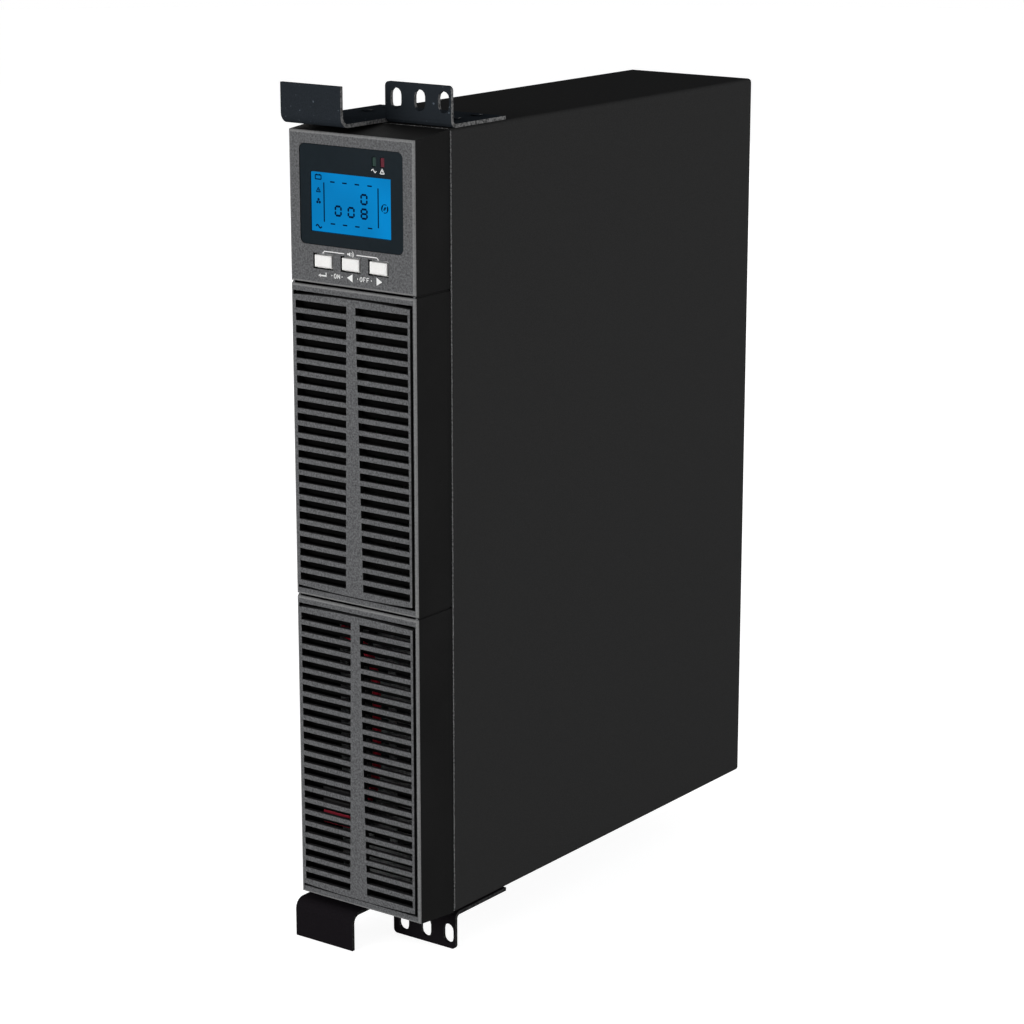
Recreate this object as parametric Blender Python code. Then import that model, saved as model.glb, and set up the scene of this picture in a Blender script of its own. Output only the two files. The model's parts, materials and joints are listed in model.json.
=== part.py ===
"""Rack and tower uninterruptible power supply, standing on its end with both rack ears fitted.

Sizes are in millimetres, and meshes are scaled to metres as they are made.
Layout axes: X runs across the front from left to right, Y runs from the front face of the bezel
to the back, and Z runs up from the lower end of the steel case. The assembly empty moves this
layout so that the world origin lies under the middle of the whole object.
"""
import math

import bmesh
import bpy
from mathutils import Matrix, Vector

MM = 0.001

# Clearances
GAP = 0.3
KEY_CLEARANCE = 0.9
CLIP_CLEARANCE = 0.5
CUTOUT_CLEARANCE = 0.3
FUSE = 0.5

# Steel case
CASE_WIDTH = 86.0
CASE_HEIGHT = 438.0
CASE_DEPTH = 296.0
SHEET = 1.2
BEND = 1.0
TOP_LIP = 18.0
BOTTOM_LIP = 66.0
PANEL_LIP = 13.0
FRONT_PLATE_SET = 0.5
PLATE_VENT = (14.0, 6.0)
PLATE_VENT_STEP = (19.6, 12.0)
PLATE_VENT_COLUMNS = 4
PLATE_VENT_MARGIN = 16.0
REAR_PANEL_SET = 1.0

# Front mouldings
BEZEL_DEPTH = 31.0
BEZEL_INSET = 0.6
END_TAPER = 3.0
BEZEL_WALL = 2.5
COVER_FACE = 2.0
DISPLAY_FACE = 3.2
EDGE_ROUND = 1.2
SEAM = 1.2
SEAM_RIB_SET = 0.5
SEAM_RIB_WIDTH = 1.5
SEAM_RIB_START = 1.0
DISPLAY_LENGTH = 82.0

# Louvre inserts
STILE = 2.2
RAIL = 3.8
GROOVE = 1.0
LOUVRE_PROUD = 1.2
LOUVRE_PITCH = 6.9
LOUVRE_OPENING = 4.2
LOUVRE_DEPTH = 3.0
LOUVRE_DRAFT = 0.2
LOUVRE_BORDER = 1.5
LOUVRE_END = 3.0
LOUVRE_ARCH = 1.0
RIB_TOP = 6.0
RIB_BOTTOM = 12.0
TAB_THICKNESS = 1.5
TAB_REACH = 1.0
TAB_LENGTH = 56.0

# Clip arms of the pull-off covers
CLIP_X = 20.0
CLIP_WIDTH = 10.0
CLIP_RISE = 3.0
CLIP_THICKNESS = 2.5
CLIP_ROOT = 7.0
CLIP_REACH = 7.0
CLIP_TIP = 1.2

# Display
FASCIA_WIDTH = 69.5
FASCIA_HEIGHT = 53.4
FASCIA_RADIUS = 3.0
FASCIA_THICKNESS = 1.2
FASCIA_SET = 0.3
FASCIA_BELOW_TOP = 6.8
FASCIA_CLEARANCE = 0.25
LCD_WIDTH = 53.7
LCD_HEIGHT = 31.4
LCD_OFFSET_X = -0.5
LCD_ABOVE_FASCIA_EDGE = 7.2
LCD_FRAME_MARGIN = 3.5
LIGHT_WIDTH = 2.2
LIGHT_HEIGHT = 4.6
LIGHT_X = (15.7, 21.2)
LIGHT_BELOW_FASCIA_TOP = 6.2
BOARD_THICKNESS = 1.6
DISPLAY_BOARD_SET = 10.0
DISPLAY_BOARD_MARGIN = 7.0
BOSS_RADIUS = 3.0

# Keys
KEY_WIDTH = 11.8
KEY_HEIGHT = 6.7
KEY_PITCH = 18.8
KEY_MIDDLE_X = -0.7
KEY_ABOVE_SEAM = 13.0
KEY_PROUD = 0.4
KEY_TRAVEL = 1.2
KEY_FLANGE = 1.4
KEY_FLANGE_THICKNESS = 0.8
SWITCH_SIDE = 6.0
SWITCH_HEIGHT = 3.5

# Rack ears
EAR_RISE = 22.3
EAR_SHEET = 2.0
EAR_BEND = 2.0
GRIP_BEND = 4.0
EAR_LEAF = 48.0
FLANGE_WIDTH = 44.0
GRIP_WIDTH = 41.0
GRIP_AHEAD = 5.0
RELIEF = 8.0
EAR_CORNER = 2.5
RACK_SLOT_WIDTH = 7.2
RACK_SLOT_LENGTH = 11.5
RACK_SLOT_PITCH = 15.875
RACK_SLOT_FROM_SIDE = 4.9
RACK_SLOT_FROM_END = 8.75

# Battery bay
DIVIDER_ABOVE_SEAM = 4.0
DIVIDER_LIP = 13.0
DIVIDER_START = 46.0
DIVIDER_LENGTH = 244.0
BATTERY_WIDTH = 65.0
BATTERY_LENGTH = 151.0
BATTERY_BODY = 88.0
BATTERY_LID = 6.0
BATTERY_LID_INSET = 1.5
BATTERY_START = 46.5
BATTERY_FACE_GAP = 26.0
TERMINAL_X = -22.0
TERMINAL_FROM_END = 10.0
TERMINAL_WIDTH = 6.3
TERMINAL_THICKNESS = 1.0
TERMINAL_LENGTH = 6.0
TRAY_WALL = 36.0
TRAY_CLEARANCE = 0.4
DOOR_SHEET = 1.0
DOOR_LOW = 10.0
DOOR_HIGH = 168.0
DOOR_HALF_WIDTH = 37.0
DOOR_LAP = 4.0
DOOR_SLOT_WIDTH = 12.0
DOOR_SLOT_HEIGHT = 5.0
DOOR_SLOT_STEP = (17.0, 10.0)
DOOR_SLOT_COUNT = (4, 13)
DOOR_SLOT_START = (-25.5, 22.0)
LEAD_RADIUS = 2.5
LEAD_HOLE_RADIUS = 3.5
POSITIVE_HOLE_X = -24.0
NEGATIVE_HOLE_X = -10.0
LEAD_HOLE_Z = 158.0
PLUG_X = (-33.0, -13.0)
PLUG_Y = (8.0, 22.0)
PLUG_Z = (44.0, 66.0)
PLUG_GROOVE_WIDTH = 1.6
PLUG_GROOVE_DEPTH = 1.5
SOCKET_STEP = 1.0
SOCKET_DEPTH = 17.0

# Power electronics
STUD_RADIUS = 3.0
STUD_HEIGHT = 6.5
BOARD_START = 62.0
BOARD_LENGTH = 230.0
BOARD_ABOVE_DIVIDER = 14.0
BOARD_BELOW_TOP = 14.0
BOARD_HOLE_INSET = 7.0
HEATSINK_BASE = 5.0
HEATSINK_HEIGHT = 62.0
HEATSINK_FIN = 2.0
HEATSINK_FIN_LENGTH = 22.0
HEATSINK_FINS = 8
HEATSINK_START = 84.0
HEATSINK_LENGTH = 170.0
HEATSINK_FROM_EDGE = 6.0
CAPACITOR_RADIUS = 12.5
CAPACITOR_HEIGHT = 46.0
CAPACITOR_ROUND = 2.0
CAPACITOR_PITCH = 29.0
CAPACITOR_START = 92.0
TOROID_RADIUS = 17.0
TOROID_WINDING = 9.0
TOROID_START = 158.0
TOROID_PITCH = 58.0
CORE_SIZE = (44.0, 42.0, 46.0)
CORE_LEG = 11.0
BOBBIN_HEIGHT = 20.0
CORE_START = 248.0
RELAY_SIZE = (16.0, 28.0, 13.0)
RELAY_START = 66.0
RELAY_PITCH = 20.0
CONTROL_BOARD_WIDTH = 52.0
CONTROL_BOARD_LENGTH = 64.0
CONTROL_BOARD_START = 70.0
CONTROL_BOARD_ABOVE = 50.0
HEADER_WIDTH = 6.0

# Rear panel
FAN_SIZE = 80.0
FAN_DEPTH = 25.0
FAN_CORNER = 4.0
FAN_BORE = 38.0
FAN_HUB = 16.0
FAN_TIP = 36.5
FAN_HUB_PLATE = 4.0
FAN_STRUT = 4.0
FAN_SCREW_PITCH = 71.5
FAN_SCREW_RADIUS = 2.2
FAN_BLADES = 7
FAN_BLADE_SWEEP = 42.0
FAN_BLADE_THICKNESS = 1.2
FAN_BELOW_TOP = 48.0
FAN_RUNNING_GAP = 0.4
GUARD_RINGS = ((12.0, 18.5), (21.0, 27.5), (30.0, 36.5))
GUARD_SPOKE = 4.0
CARD_BELOW_FAN = 62.0
CARD_OPENING = (60.0, 24.0)
CARD_COVER = (70.0, 33.0)
PORTS_BELOW_CARD = 30.0
SERIAL_X = -14.0
SERIAL_FLANGE = (31.0, 12.6)
SERIAL_SHELL = (17.0, 8.4)
SERIAL_STANDS = 6.0
SERIAL_BODY = 11.0
USB_X = 24.0
USB_SHELL = (12.0, 11.2)
USB_CAVITY = (9.2, 8.4)
USB_TONGUE = (5.6, 3.2)
USB_DEPTH = 14.0
USB_STANDS = 0.8
OUTLET_X = 20.0
OUTLETS_BELOW_PORTS = 30.0
OUTLET_PITCH = 33.0
SOCKET_FLANGE = (36.0, 29.0)
SOCKET_BODY = (31.5, 24.0)
SOCKET_CORNER = 2.0
SOCKET_FLANGE_THICKNESS = 2.2
SOCKET_BODY_DEPTH = 25.0
SOCKET_CAVITY_DEPTH = 17.0
INLET_CAVITY = (24.6, 17.0)
MOAT_OUTER = (28.6, 21.2)
MOAT_INNER = (23.6, 15.8)
SOCKET_CHAMFER = 4.0
PIN_SIZE = (2.0, 4.0)
PIN_LENGTH = 13.0
PIN_SPREAD = 7.0
PIN_EARTH_OFFSET = 4.0
PIN_LINE_OFFSET = -1.0
INLET_X = 18.0
INLET_Z = 62.0
BREAKER_X = -20.0
BREAKER_BODY = (16.0, 20.0)
BREAKER_DEPTH = 30.0
BUSH_RADIUS = 5.5
BUSH_STANDS = 7.0
BUSH_BORE = 3.6
BUSH_BORE_DEPTH = 10.0
NUT_RADIUS = 8.5
NUT_THICKNESS = 3.0
BREAKER_BUTTON_RADIUS = 3.3
BREAKER_BUTTON_STANDS = 4.0

# Places worked out from the sizes
HALF = CASE_WIDTH / 2
FRONT = BEZEL_DEPTH
REAR = FRONT + CASE_DEPTH
BEZEL_BACK = FRONT - GAP
INNER_HALF = HALF - SHEET
PLATE_FACE = FRONT + FRONT_PLATE_SET
PANEL_FACE = REAR - REAR_PANEL_SET
PLATE_LOW = 2 * (SHEET + GAP)
PLATE_HIGH = CASE_HEIGHT - PLATE_LOW
COVER_LENGTH = (CASE_HEIGHT - 2 * END_TAPER - DISPLAY_LENGTH) / 2
LOWER_SEAM = END_TAPER + COVER_LENGTH
UPPER_SEAM = LOWER_SEAM + COVER_LENGTH
DISPLAY_TOP = CASE_HEIGHT - END_TAPER
FASCIA_HIGH = DISPLAY_TOP - FASCIA_BELOW_TOP
FASCIA_LOW = FASCIA_HIGH - FASCIA_HEIGHT
FASCIA_BACK = FASCIA_SET + FASCIA_THICKNESS
LCD_LOW = FASCIA_LOW + LCD_ABOVE_FASCIA_EDGE
KEY_Z = UPPER_SEAM + KEY_ABOVE_SEAM
LIGHT_Z = FASCIA_HIGH - LIGHT_BELOW_FASCIA_TOP
DIVIDER_Z = LOWER_SEAM + DIVIDER_ABOVE_SEAM
TRAY_FLOOR = SHEET + GAP + SHEET + GAP
BATTERY_LOW = TRAY_FLOOR + SHEET + GAP
BATTERY_HIGH = BATTERY_LOW + BATTERY_LENGTH
DOOR_BACK = PLATE_FACE - GAP
BOARD_X = -INNER_HALF + STUD_HEIGHT + GAP
BOARD_FACE = BOARD_X + BOARD_THICKNESS
COMPONENT_X = BOARD_FACE + GAP
BOARD_LOW = DIVIDER_Z + BOARD_ABOVE_DIVIDER
BOARD_HIGH = CASE_HEIGHT - BOARD_BELOW_TOP
FAN_Z = CASE_HEIGHT - FAN_BELOW_TOP
FAN_BACK = PANEL_FACE - SHEET - GAP
FAN_FRONT = FAN_BACK - FAN_DEPTH
CARD_Z = FAN_Z - CARD_BELOW_FAN
PORTS_Z = CARD_Z - PORTS_BELOW_CARD
OUTLETS_Z = PORTS_Z - OUTLETS_BELOW_PORTS
FOREMOST = -GRIP_AHEAD
REARMOST = PANEL_FACE + BUSH_STANDS + BREAKER_BUTTON_STANDS
MIDDLE_Y = (FOREMOST + REARMOST) / 2

# Routes of the two battery leads, from the terminal to the plug
POSITIVE_ROUTE = [
    (-22, 143.5, 146.3), (-22, 143.5, 154), (-22, 141, 162), (-22, 134, 166), (-22, 118, 167), (-22, 90, 167),
    (-22.5, 66, 166), (-23.5, 52, 162), (-24, 42, 159), (-24, 34, 158), (-24, 26, 158), (-23, 18, 157.5),
    (-18.5, 12.5, 157), (-11, 11, 156), (-3, 11, 151.5), (2.5, 11, 143), (4.5, 11, 130), (4.5, 11, 105),
    (4, 11, 84), (1.5, 11.5, 70), (-3.5, 12, 61.5), (-9, 12, 59), (-12.7, 12, 59),
]
NEGATIVE_ROUTE = [
    (-22, 163.4, 146.3), (-22, 163.4, 153.5), (-21, 162, 161), (-17, 156, 166.5), (-12.5, 144, 167.5),
    (-10.5, 128, 167.5), (-10, 100, 167), (-10, 68, 166), (-10, 52, 162), (-10, 42, 159), (-10, 35, 158),
    (-10, 28, 157), (-9.5, 22.5, 152), (-8.5, 20, 144), (-7.5, 19, 128), (-7, 19, 104), (-6.5, 19, 82),
    (-6.5, 19, 66), (-6.5, 18.5, 56.5), (-9, 18, 51), (-12.7, 18, 51),
]
LEAD_POINT_SPACING = 9.0

PLANES = {
    "XZ": lambda a, b, height: (a, height, b),
    "YZ": lambda a, b, height: (height, a, b),
    "XY": lambda a, b, height: (a, b, height),
}


# Scene and materials

def clear_scene():
    for item in list(bpy.data.objects):
        bpy.data.objects.remove(item, do_unlink=True)


def finish(name, colour, roughness, metallic=0.0):
    material = bpy.data.materials.new(name)
    material.use_nodes = True
    shader = material.node_tree.nodes["Principled BSDF"]
    shader.inputs["Base Color"].default_value = (*colour, 1.0)
    shader.inputs["Roughness"].default_value = roughness
    shader.inputs["Metallic"].default_value = metallic
    return material


clear_scene()
ASSEMBLY = bpy.data.objects.new("assembly", None)
ASSEMBLY.location = Vector((0.0, -MIDDLE_Y, EAR_RISE)) * MM
bpy.context.collection.objects.link(ASSEMBLY)

BLACK_PAINT = finish("black_paint", (0.025, 0.025, 0.025), 0.55, 0.2)
ZINC = finish("zinc_plate", (0.55, 0.56, 0.57), 0.4, 0.9)
GREY_PLASTIC = finish("grey_plastic", (0.14, 0.14, 0.145), 0.6)
BLACK_GLOSS = finish("black_gloss", (0.015, 0.018, 0.022), 0.15)
BLACK_PLASTIC = finish("black_plastic", (0.02, 0.02, 0.02), 0.5)
BLUE_GLASS = finish("blue_glass", (0.0, 0.26, 0.68), 0.2)
GREEN_LIGHT = finish("green_light", (0.05, 0.16, 0.10), 0.3)
RED_LIGHT = finish("red_light", (0.45, 0.02, 0.04), 0.3)
WHITE_KEY = finish("white_key", (0.8, 0.79, 0.77), 0.45)
BOARD_GREEN = finish("board_green", (0.02, 0.14, 0.06), 0.45)
BATTERY_GREY = finish("battery_grey", (0.05, 0.05, 0.055), 0.5)
BRASS = finish("brass", (0.7, 0.5, 0.2), 0.35, 1.0)
RED_RUBBER = finish("red_cable", (0.5, 0.01, 0.02), 0.45)
BLACK_RUBBER = finish("black_cable", (0.015, 0.015, 0.015), 0.45)
ALUMINIUM = finish("aluminium", (0.7, 0.71, 0.72), 0.4, 1.0)
COPPER = finish("copper_winding", (0.6, 0.25, 0.08), 0.4, 0.8)
FERRITE = finish("ferrite", (0.03, 0.03, 0.032), 0.6)
SLEEVE_BLUE = finish("capacitor_sleeve", (0.02, 0.05, 0.16), 0.4)


# Outlines in a plane

def rectangle(low, high):
    return [(low[0], low[1]), (high[0], low[1]), (high[0], high[1]), (low[0], high[1])]


def centred(centre, size):
    low = (centre[0] - size[0] / 2, centre[1] - size[1] / 2)
    high = (centre[0] + size[0] / 2, centre[1] + size[1] / 2)
    return rectangle(low, high)


def arc(centre, radius, start, end, steps):
    points = []
    for step in range(steps + 1):
        angle = math.radians(start + (end - start) * step / steps)
        points.append((centre[0] + radius * math.cos(angle), centre[1] + radius * math.sin(angle)))
    return points


def circle(centre, radius, sides):
    return arc(centre, radius, 0.0, 360.0, sides)[:-1]


def rounded(low, high, radius, steps=4):
    points = arc((high[0] - radius, low[1] + radius), radius, -90, 0, steps)
    points += arc((high[0] - radius, high[1] - radius), radius, 0, 90, steps)
    points += arc((low[0] + radius, high[1] - radius), radius, 90, 180, steps)
    points += arc((low[0] + radius, low[1] + radius), radius, 180, 270, steps)
    return points


def upright_slot(centre, width, length, steps=6):
    radius = width / 2
    reach = length / 2 - radius
    points = arc((centre[0], centre[1] + reach), radius, 0, 180, steps)
    points += arc((centre[0], centre[1] - reach), radius, 180, 360, steps)
    return points


def chamfered(centre, size, chamfer):
    """A rectangle with its two upper corners cut off, as on appliance sockets."""
    (left, low), (right, high) = centred(centre, size)[0], centred(centre, size)[2]
    return [(left, low), (right, low), (right, high - chamfer), (right - chamfer, high),
            (left + chamfer, high), (left, high - chamfer)]


def folded(path, thickness, bend, steps=3):
    """Outline of a bent sheet, from the middle line of its section and the inside bend radius."""
    corners = [Vector(point) for point in path]
    middle = bend + thickness / 2
    stations = [(corners[0], (corners[1] - corners[0]).normalized())]
    for before, corner, after in zip(corners, corners[1:], corners[2:]):
        enter = (corner - before).normalized()
        leave = (after - corner).normalized()
        turn = math.atan2(enter.x * leave.y - enter.y * leave.x, enter.dot(leave))
        side = Vector((-enter.y, enter.x)) * math.copysign(1.0, turn)
        start = corner - enter * middle * math.tan(abs(turn) / 2)
        centre = start + side * middle
        for step in range(steps + 1):
            swing = Matrix.Rotation(turn * step / steps, 2)
            stations.append((centre + swing @ (start - centre), swing @ enter))
    stations.append((corners[-1], (corners[-1] - corners[-2]).normalized()))
    left = []
    right = []
    for point, direction in stations:
        across = Vector((-direction.y, direction.x)) * thickness / 2
        left.append(tuple(round(value, 4) for value in point + across))
        right.append(tuple(round(value, 4) for value in point - across))
    return left + right[::-1]


# Solids

def add_loft(bm, plane, low_loops, high_loops, low, high):
    """A solid between two levels. The first loop is the outline and the others are holes."""
    place = PLANES[plane]
    levels = []
    for loops, level in ((low_loops, low), (high_loops, high)):
        rings = [[bm.verts.new(place(a, b, level)) for a, b in loop] for loop in loops]
        edges = []
        for ring in rings:
            edges += [bm.edges.new(pair) for pair in zip(ring, ring[1:] + ring[:1])]
        if len(rings) == 1:
            bm.faces.new(rings[0])
        else:
            bmesh.ops.triangle_fill(bm, edges=edges, use_beauty=True, normal=place(0.0, 0.0, 1.0))
        levels.append(rings)
    for low_ring, high_ring in zip(*levels):
        for index in range(len(low_ring)):
            bm.faces.new((low_ring[index - 1], low_ring[index], high_ring[index], high_ring[index - 1]))


def add_prism(bm, plane, loops, low, high):
    add_loft(bm, plane, loops, loops, low, high)


def add_block(bm, x, y, z):
    add_prism(bm, "XZ", [rectangle((x[0], z[0]), (x[1], z[1]))], y[0], y[1])


def add_turned(bm, profile, centre, axis, sides):
    """A turned solid. The profile is a list of (radius, height) that starts and ends on the axis."""
    place = PLANES[{"X": "YZ", "Y": "XZ", "Z": "XY"}[axis]]
    rings = []
    for radius, height in profile:
        points = circle((0.0, 0.0), radius, sides) if radius else [(0.0, 0.0)]
        rings.append([bm.verts.new(Vector(place(a, b, height)) + Vector(centre)) for a, b in points])
    for low, high in zip(rings, rings[1:]):
        for index in range(sides):
            if len(low) == len(high):
                corners = [low[index - 1], low[index], high[index], high[index - 1]]
            elif len(low) == 1:
                corners = [low[0], high[index], high[index - 1]]
            else:
                corners = [low[index - 1], low[index], high[0]]
            bm.faces.new(corners)


def round_edges(bm, chosen, radius, segments=2):
    edges = [edge for edge in bm.edges if all(chosen(vertex.co) for vertex in edge.verts)]
    bmesh.ops.bevel(bm, geom=edges, offset=radius, segments=segments, profile=0.5, affect="EDGES")


def piece(name, bm, material, origin=(0.0, 0.0, 0.0)):
    bmesh.ops.recalc_face_normals(bm, faces=bm.faces)
    mesh = bpy.data.meshes.new(name)
    bm.to_mesh(mesh)
    bm.free()
    mesh.transform(Matrix.Scale(MM, 4) @ Matrix.Translation(-Vector(origin)))
    mesh.materials.append(material)
    part = bpy.data.objects.new(name, mesh)
    part.location = Vector(origin) * MM
    part.parent = ASSEMBLY
    bpy.context.collection.objects.link(part)
    return part


def combine(part, operation, bm):
    """Join the solids of a bmesh to a piece, or cut them out of it."""
    tool = piece("tool", bm, part.data.materials[0])
    modifier = part.modifiers.new("combine", "BOOLEAN")
    modifier.object = tool
    modifier.operation = operation
    modifier.solver = "EXACT"
    bpy.context.view_layer.update()
    evaluated = part.evaluated_get(bpy.context.evaluated_depsgraph_get())
    mesh = bpy.data.meshes.new_from_object(evaluated)
    part.modifiers.clear()
    part.data = mesh
    mesh.name = part.name
    bpy.data.objects.remove(tool, do_unlink=True)


def cut(part, bm):
    combine(part, "DIFFERENCE", bm)


def join(part, bm):
    combine(part, "UNION", bm)


def smooth(part, angle=35.0):
    part.data.shade_smooth()
    part.data.set_sharp_from_angle(angle=math.radians(angle))


# Steel case

def make_cover_shell():
    edge = SHEET / 2
    top = CASE_HEIGHT - edge
    path = [(-HALF, top), (HALF - edge, top), (HALF - edge, edge), (-HALF, edge)]
    bm = bmesh.new()
    add_prism(bm, "XZ", [folded(path, SHEET, BEND)], FRONT, REAR)
    piece("cover_shell", bm, BLACK_PAINT)


def board_holes():
    inset = BOARD_HOLE_INSET
    middle = BOARD_START + BOARD_LENGTH / 2
    rows = (BOARD_LOW + inset, BOARD_HIGH - inset)
    return [(y, z) for y in (BOARD_START + inset, middle, BOARD_START + BOARD_LENGTH - inset) for z in rows]


def make_chassis_tray():
    edge = SHEET + GAP + SHEET / 2
    wall = -HALF + SHEET / 2
    top = CASE_HEIGHT - edge
    path = [(-HALF + TOP_LIP, top), (wall, top), (wall, edge), (-HALF + BOTTOM_LIP, edge)]
    bm = bmesh.new()
    add_prism(bm, "XZ", [folded(path, SHEET, BEND)], FRONT, REAR)
    tray = piece("chassis_tray", bm, BLACK_PAINT)
    studs = bmesh.new()
    for place in board_holes():
        add_prism(studs, "YZ", [circle(place, STUD_RADIUS, 8)], -INNER_HALF - FUSE, BOARD_X - GAP)
    join(tray, studs)


def clip_places():
    """Inner wall height and inward direction of the clip rows on the lower and the upper cover."""
    lower = [(BEZEL_WALL, 1), (LOWER_SEAM - SEAM / 2 - BEZEL_WALL, -1)]
    upper = [(LOWER_SEAM + SEAM / 2 + BEZEL_WALL, 1), (UPPER_SEAM - SEAM / 2 - BEZEL_WALL, -1)]
    return lower, upper


def make_front_plate():
    edge = SHEET / 2
    plane = PLATE_FACE + edge
    back = PLATE_FACE + PANEL_LIP
    top = PLATE_HIGH - edge
    bottom = PLATE_LOW + edge
    path = [(back, top), (plane, top), (plane, bottom), (back, bottom)]
    bm = bmesh.new()
    add_prism(bm, "YZ", [folded(path, SHEET, BEND)], -INNER_HALF + 2 * GAP, INNER_HALF - 2 * GAP)
    plate = piece("front_plate", bm, BLACK_PAINT)
    holes = bmesh.new()
    through = (PLATE_FACE - 1, PLATE_FACE + SHEET + 1)
    step_x, step_z = PLATE_VENT_STEP
    rows = int((UPPER_SEAM - LOWER_SEAM - 2 * PLATE_VENT_MARGIN) / step_z)
    for row in range(rows + 1):
        for column in range(PLATE_VENT_COLUMNS):
            x = (column - (PLATE_VENT_COLUMNS - 1) / 2) * step_x
            centre = (x, LOWER_SEAM + PLATE_VENT_MARGIN + row * step_z)
            add_prism(holes, "XZ", [centred(centre, PLATE_VENT)], *through)
    opening_half = DOOR_HALF_WIDTH - DOOR_LAP
    opening = rectangle((-opening_half, DOOR_LOW + DOOR_LAP), (opening_half, DOOR_HIGH - DOOR_LAP))
    add_prism(holes, "XZ", [opening], *through)
    cable_window = centred((0.0, (LCD_LOW + FASCIA_HIGH) / 2), (LCD_WIDTH, LCD_HEIGHT / 2))
    add_prism(holes, "XZ", [cable_window], *through)
    for wall, inward in sum(clip_places(), []):
        middle = wall + inward * (CLIP_RISE + CLIP_THICKNESS / 2)
        size = (CLIP_WIDTH + 2 * CLIP_CLEARANCE, CLIP_THICKNESS + 2 * CLIP_CLEARANCE)
        for x in (-CLIP_X, CLIP_X):
            add_prism(holes, "XZ", [centred((x, middle), size)], *through)
    cut(plate, holes)


def guard_slots():
    """Arc-shaped slots of the punched fan guard, four to each ring."""
    loops = []
    for inner, outer in GUARD_RINGS:
        for quarter in range(4):
            start = 90 * quarter
            bare_inner = math.degrees(math.asin(GUARD_SPOKE / 2 / inner))
            bare_outer = math.degrees(math.asin(GUARD_SPOKE / 2 / outer))
            outline = arc((0, FAN_Z), outer, start + bare_outer, start + 90 - bare_outer, 7)
            outline += arc((0, FAN_Z), inner, start + 90 - bare_inner, start + bare_inner, 7)
            loops.append(outline)
    return loops


def outlet_places():
    rows = (OUTLETS_Z, OUTLETS_Z - OUTLET_PITCH)
    return [(x, z) for z in rows for x in (-OUTLET_X, OUTLET_X)]


def make_rear_panel():
    edge = SHEET / 2
    plane = PANEL_FACE - edge
    front = PANEL_FACE - PANEL_LIP
    top = PLATE_HIGH - edge
    bottom = PLATE_LOW + edge
    path = [(front, top), (plane, top), (plane, bottom), (front, bottom)]
    bm = bmesh.new()
    add_prism(bm, "YZ", [folded(path, SHEET, BEND)], -INNER_HALF + 2 * GAP, INNER_HALF - 2 * GAP)
    panel = piece("rear_panel", bm, BLACK_PAINT)
    holes = bmesh.new()
    spare = 2 * CUTOUT_CLEARANCE
    cutouts = guard_slots()
    for place in outlet_places() + [(INLET_X, INLET_Z)]:
        cutouts.append(centred(place, (SOCKET_BODY[0] + spare, SOCKET_BODY[1] + spare)))
    cutouts.append(centred((0.0, CARD_Z), CARD_OPENING))
    cutouts.append(centred((SERIAL_X, PORTS_Z), (SERIAL_SHELL[0] + spare, SERIAL_SHELL[1] + spare)))
    cutouts.append(centred((USB_X, PORTS_Z), (USB_SHELL[0] + spare, USB_SHELL[1] + spare)))
    cutouts.append(circle((BREAKER_X, INLET_Z), BUSH_RADIUS + CUTOUT_CLEARANCE, 16))
    for outline in cutouts:
        add_prism(holes, "XZ", [outline], PANEL_FACE - SHEET - 1, PANEL_FACE + 1)
    cut(panel, holes)


def make_bay_divider():
    edge = SHEET / 2
    wall = -INNER_HALF + GAP + edge
    path = [(wall, DIVIDER_Z + DIVIDER_LIP), (wall, DIVIDER_Z), (INNER_HALF - 2 * GAP, DIVIDER_Z)]
    bm = bmesh.new()
    add_prism(bm, "XZ", [folded(path, SHEET, BEND)], DIVIDER_START, DIVIDER_START + DIVIDER_LENGTH)
    piece("bay_divider", bm, ZINC)


# Front mouldings

def end_at(y, low_end):
    """Height of the tapered end of the front at depth y."""
    taper = END_TAPER * (1 - y / BEZEL_DEPTH)
    return taper if low_end else CASE_HEIGHT - taper


def make_moulding(name, low, high, face, origin):
    """A front section, open at the back. A low or high of None is the tapered end of the front."""
    def span(y, inset):
        bottom = end_at(y, True) if low is None else low
        top = end_at(y, False) if high is None else high
        side = HALF - BEZEL_INSET - inset
        return rectangle((-side, bottom + inset), (side, top - inset))

    bm = bmesh.new()
    add_loft(bm, "XZ", [span(0.0, 0.0)], [span(BEZEL_BACK, 0.0)], 0.0, BEZEL_BACK)
    round_edges(bm, lambda point: abs(point.y) < GAP, EDGE_ROUND)
    shell = piece(name, bm, GREY_PLASTIC, origin)
    cavity = bmesh.new()
    past = BEZEL_BACK + 1
    add_loft(cavity, "XZ", [span(face, BEZEL_WALL)], [span(past, BEZEL_WALL)], face, past)
    cut(shell, cavity)
    return shell


def key_places():
    return [(KEY_MIDDLE_X + (index - 1) * KEY_PITCH, KEY_Z) for index in range(3)]


def lcd_rectangle(margin):
    low = (LCD_OFFSET_X - LCD_WIDTH / 2 - margin, LCD_LOW - margin)
    high = (LCD_OFFSET_X + LCD_WIDTH / 2 + margin, LCD_LOW + LCD_HEIGHT + margin)
    return low, high


def light_outline(x, margin):
    return centred((x, LIGHT_Z), (LIGHT_WIDTH + 2 * margin, LIGHT_HEIGHT + 2 * margin))


def fascia_outline(margin):
    low = (-FASCIA_WIDTH / 2 - margin, FASCIA_LOW - margin)
    high = (FASCIA_WIDTH / 2 + margin, FASCIA_HIGH + margin)
    return rounded(low, high, FASCIA_RADIUS + margin)


def display_board_outline():
    low = (-HALF + DISPLAY_BOARD_MARGIN, UPPER_SEAM + DISPLAY_BOARD_MARGIN - 1)
    high = (HALF - DISPLAY_BOARD_MARGIN, DISPLAY_TOP - DISPLAY_BOARD_MARGIN + 1)
    return low, high


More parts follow.
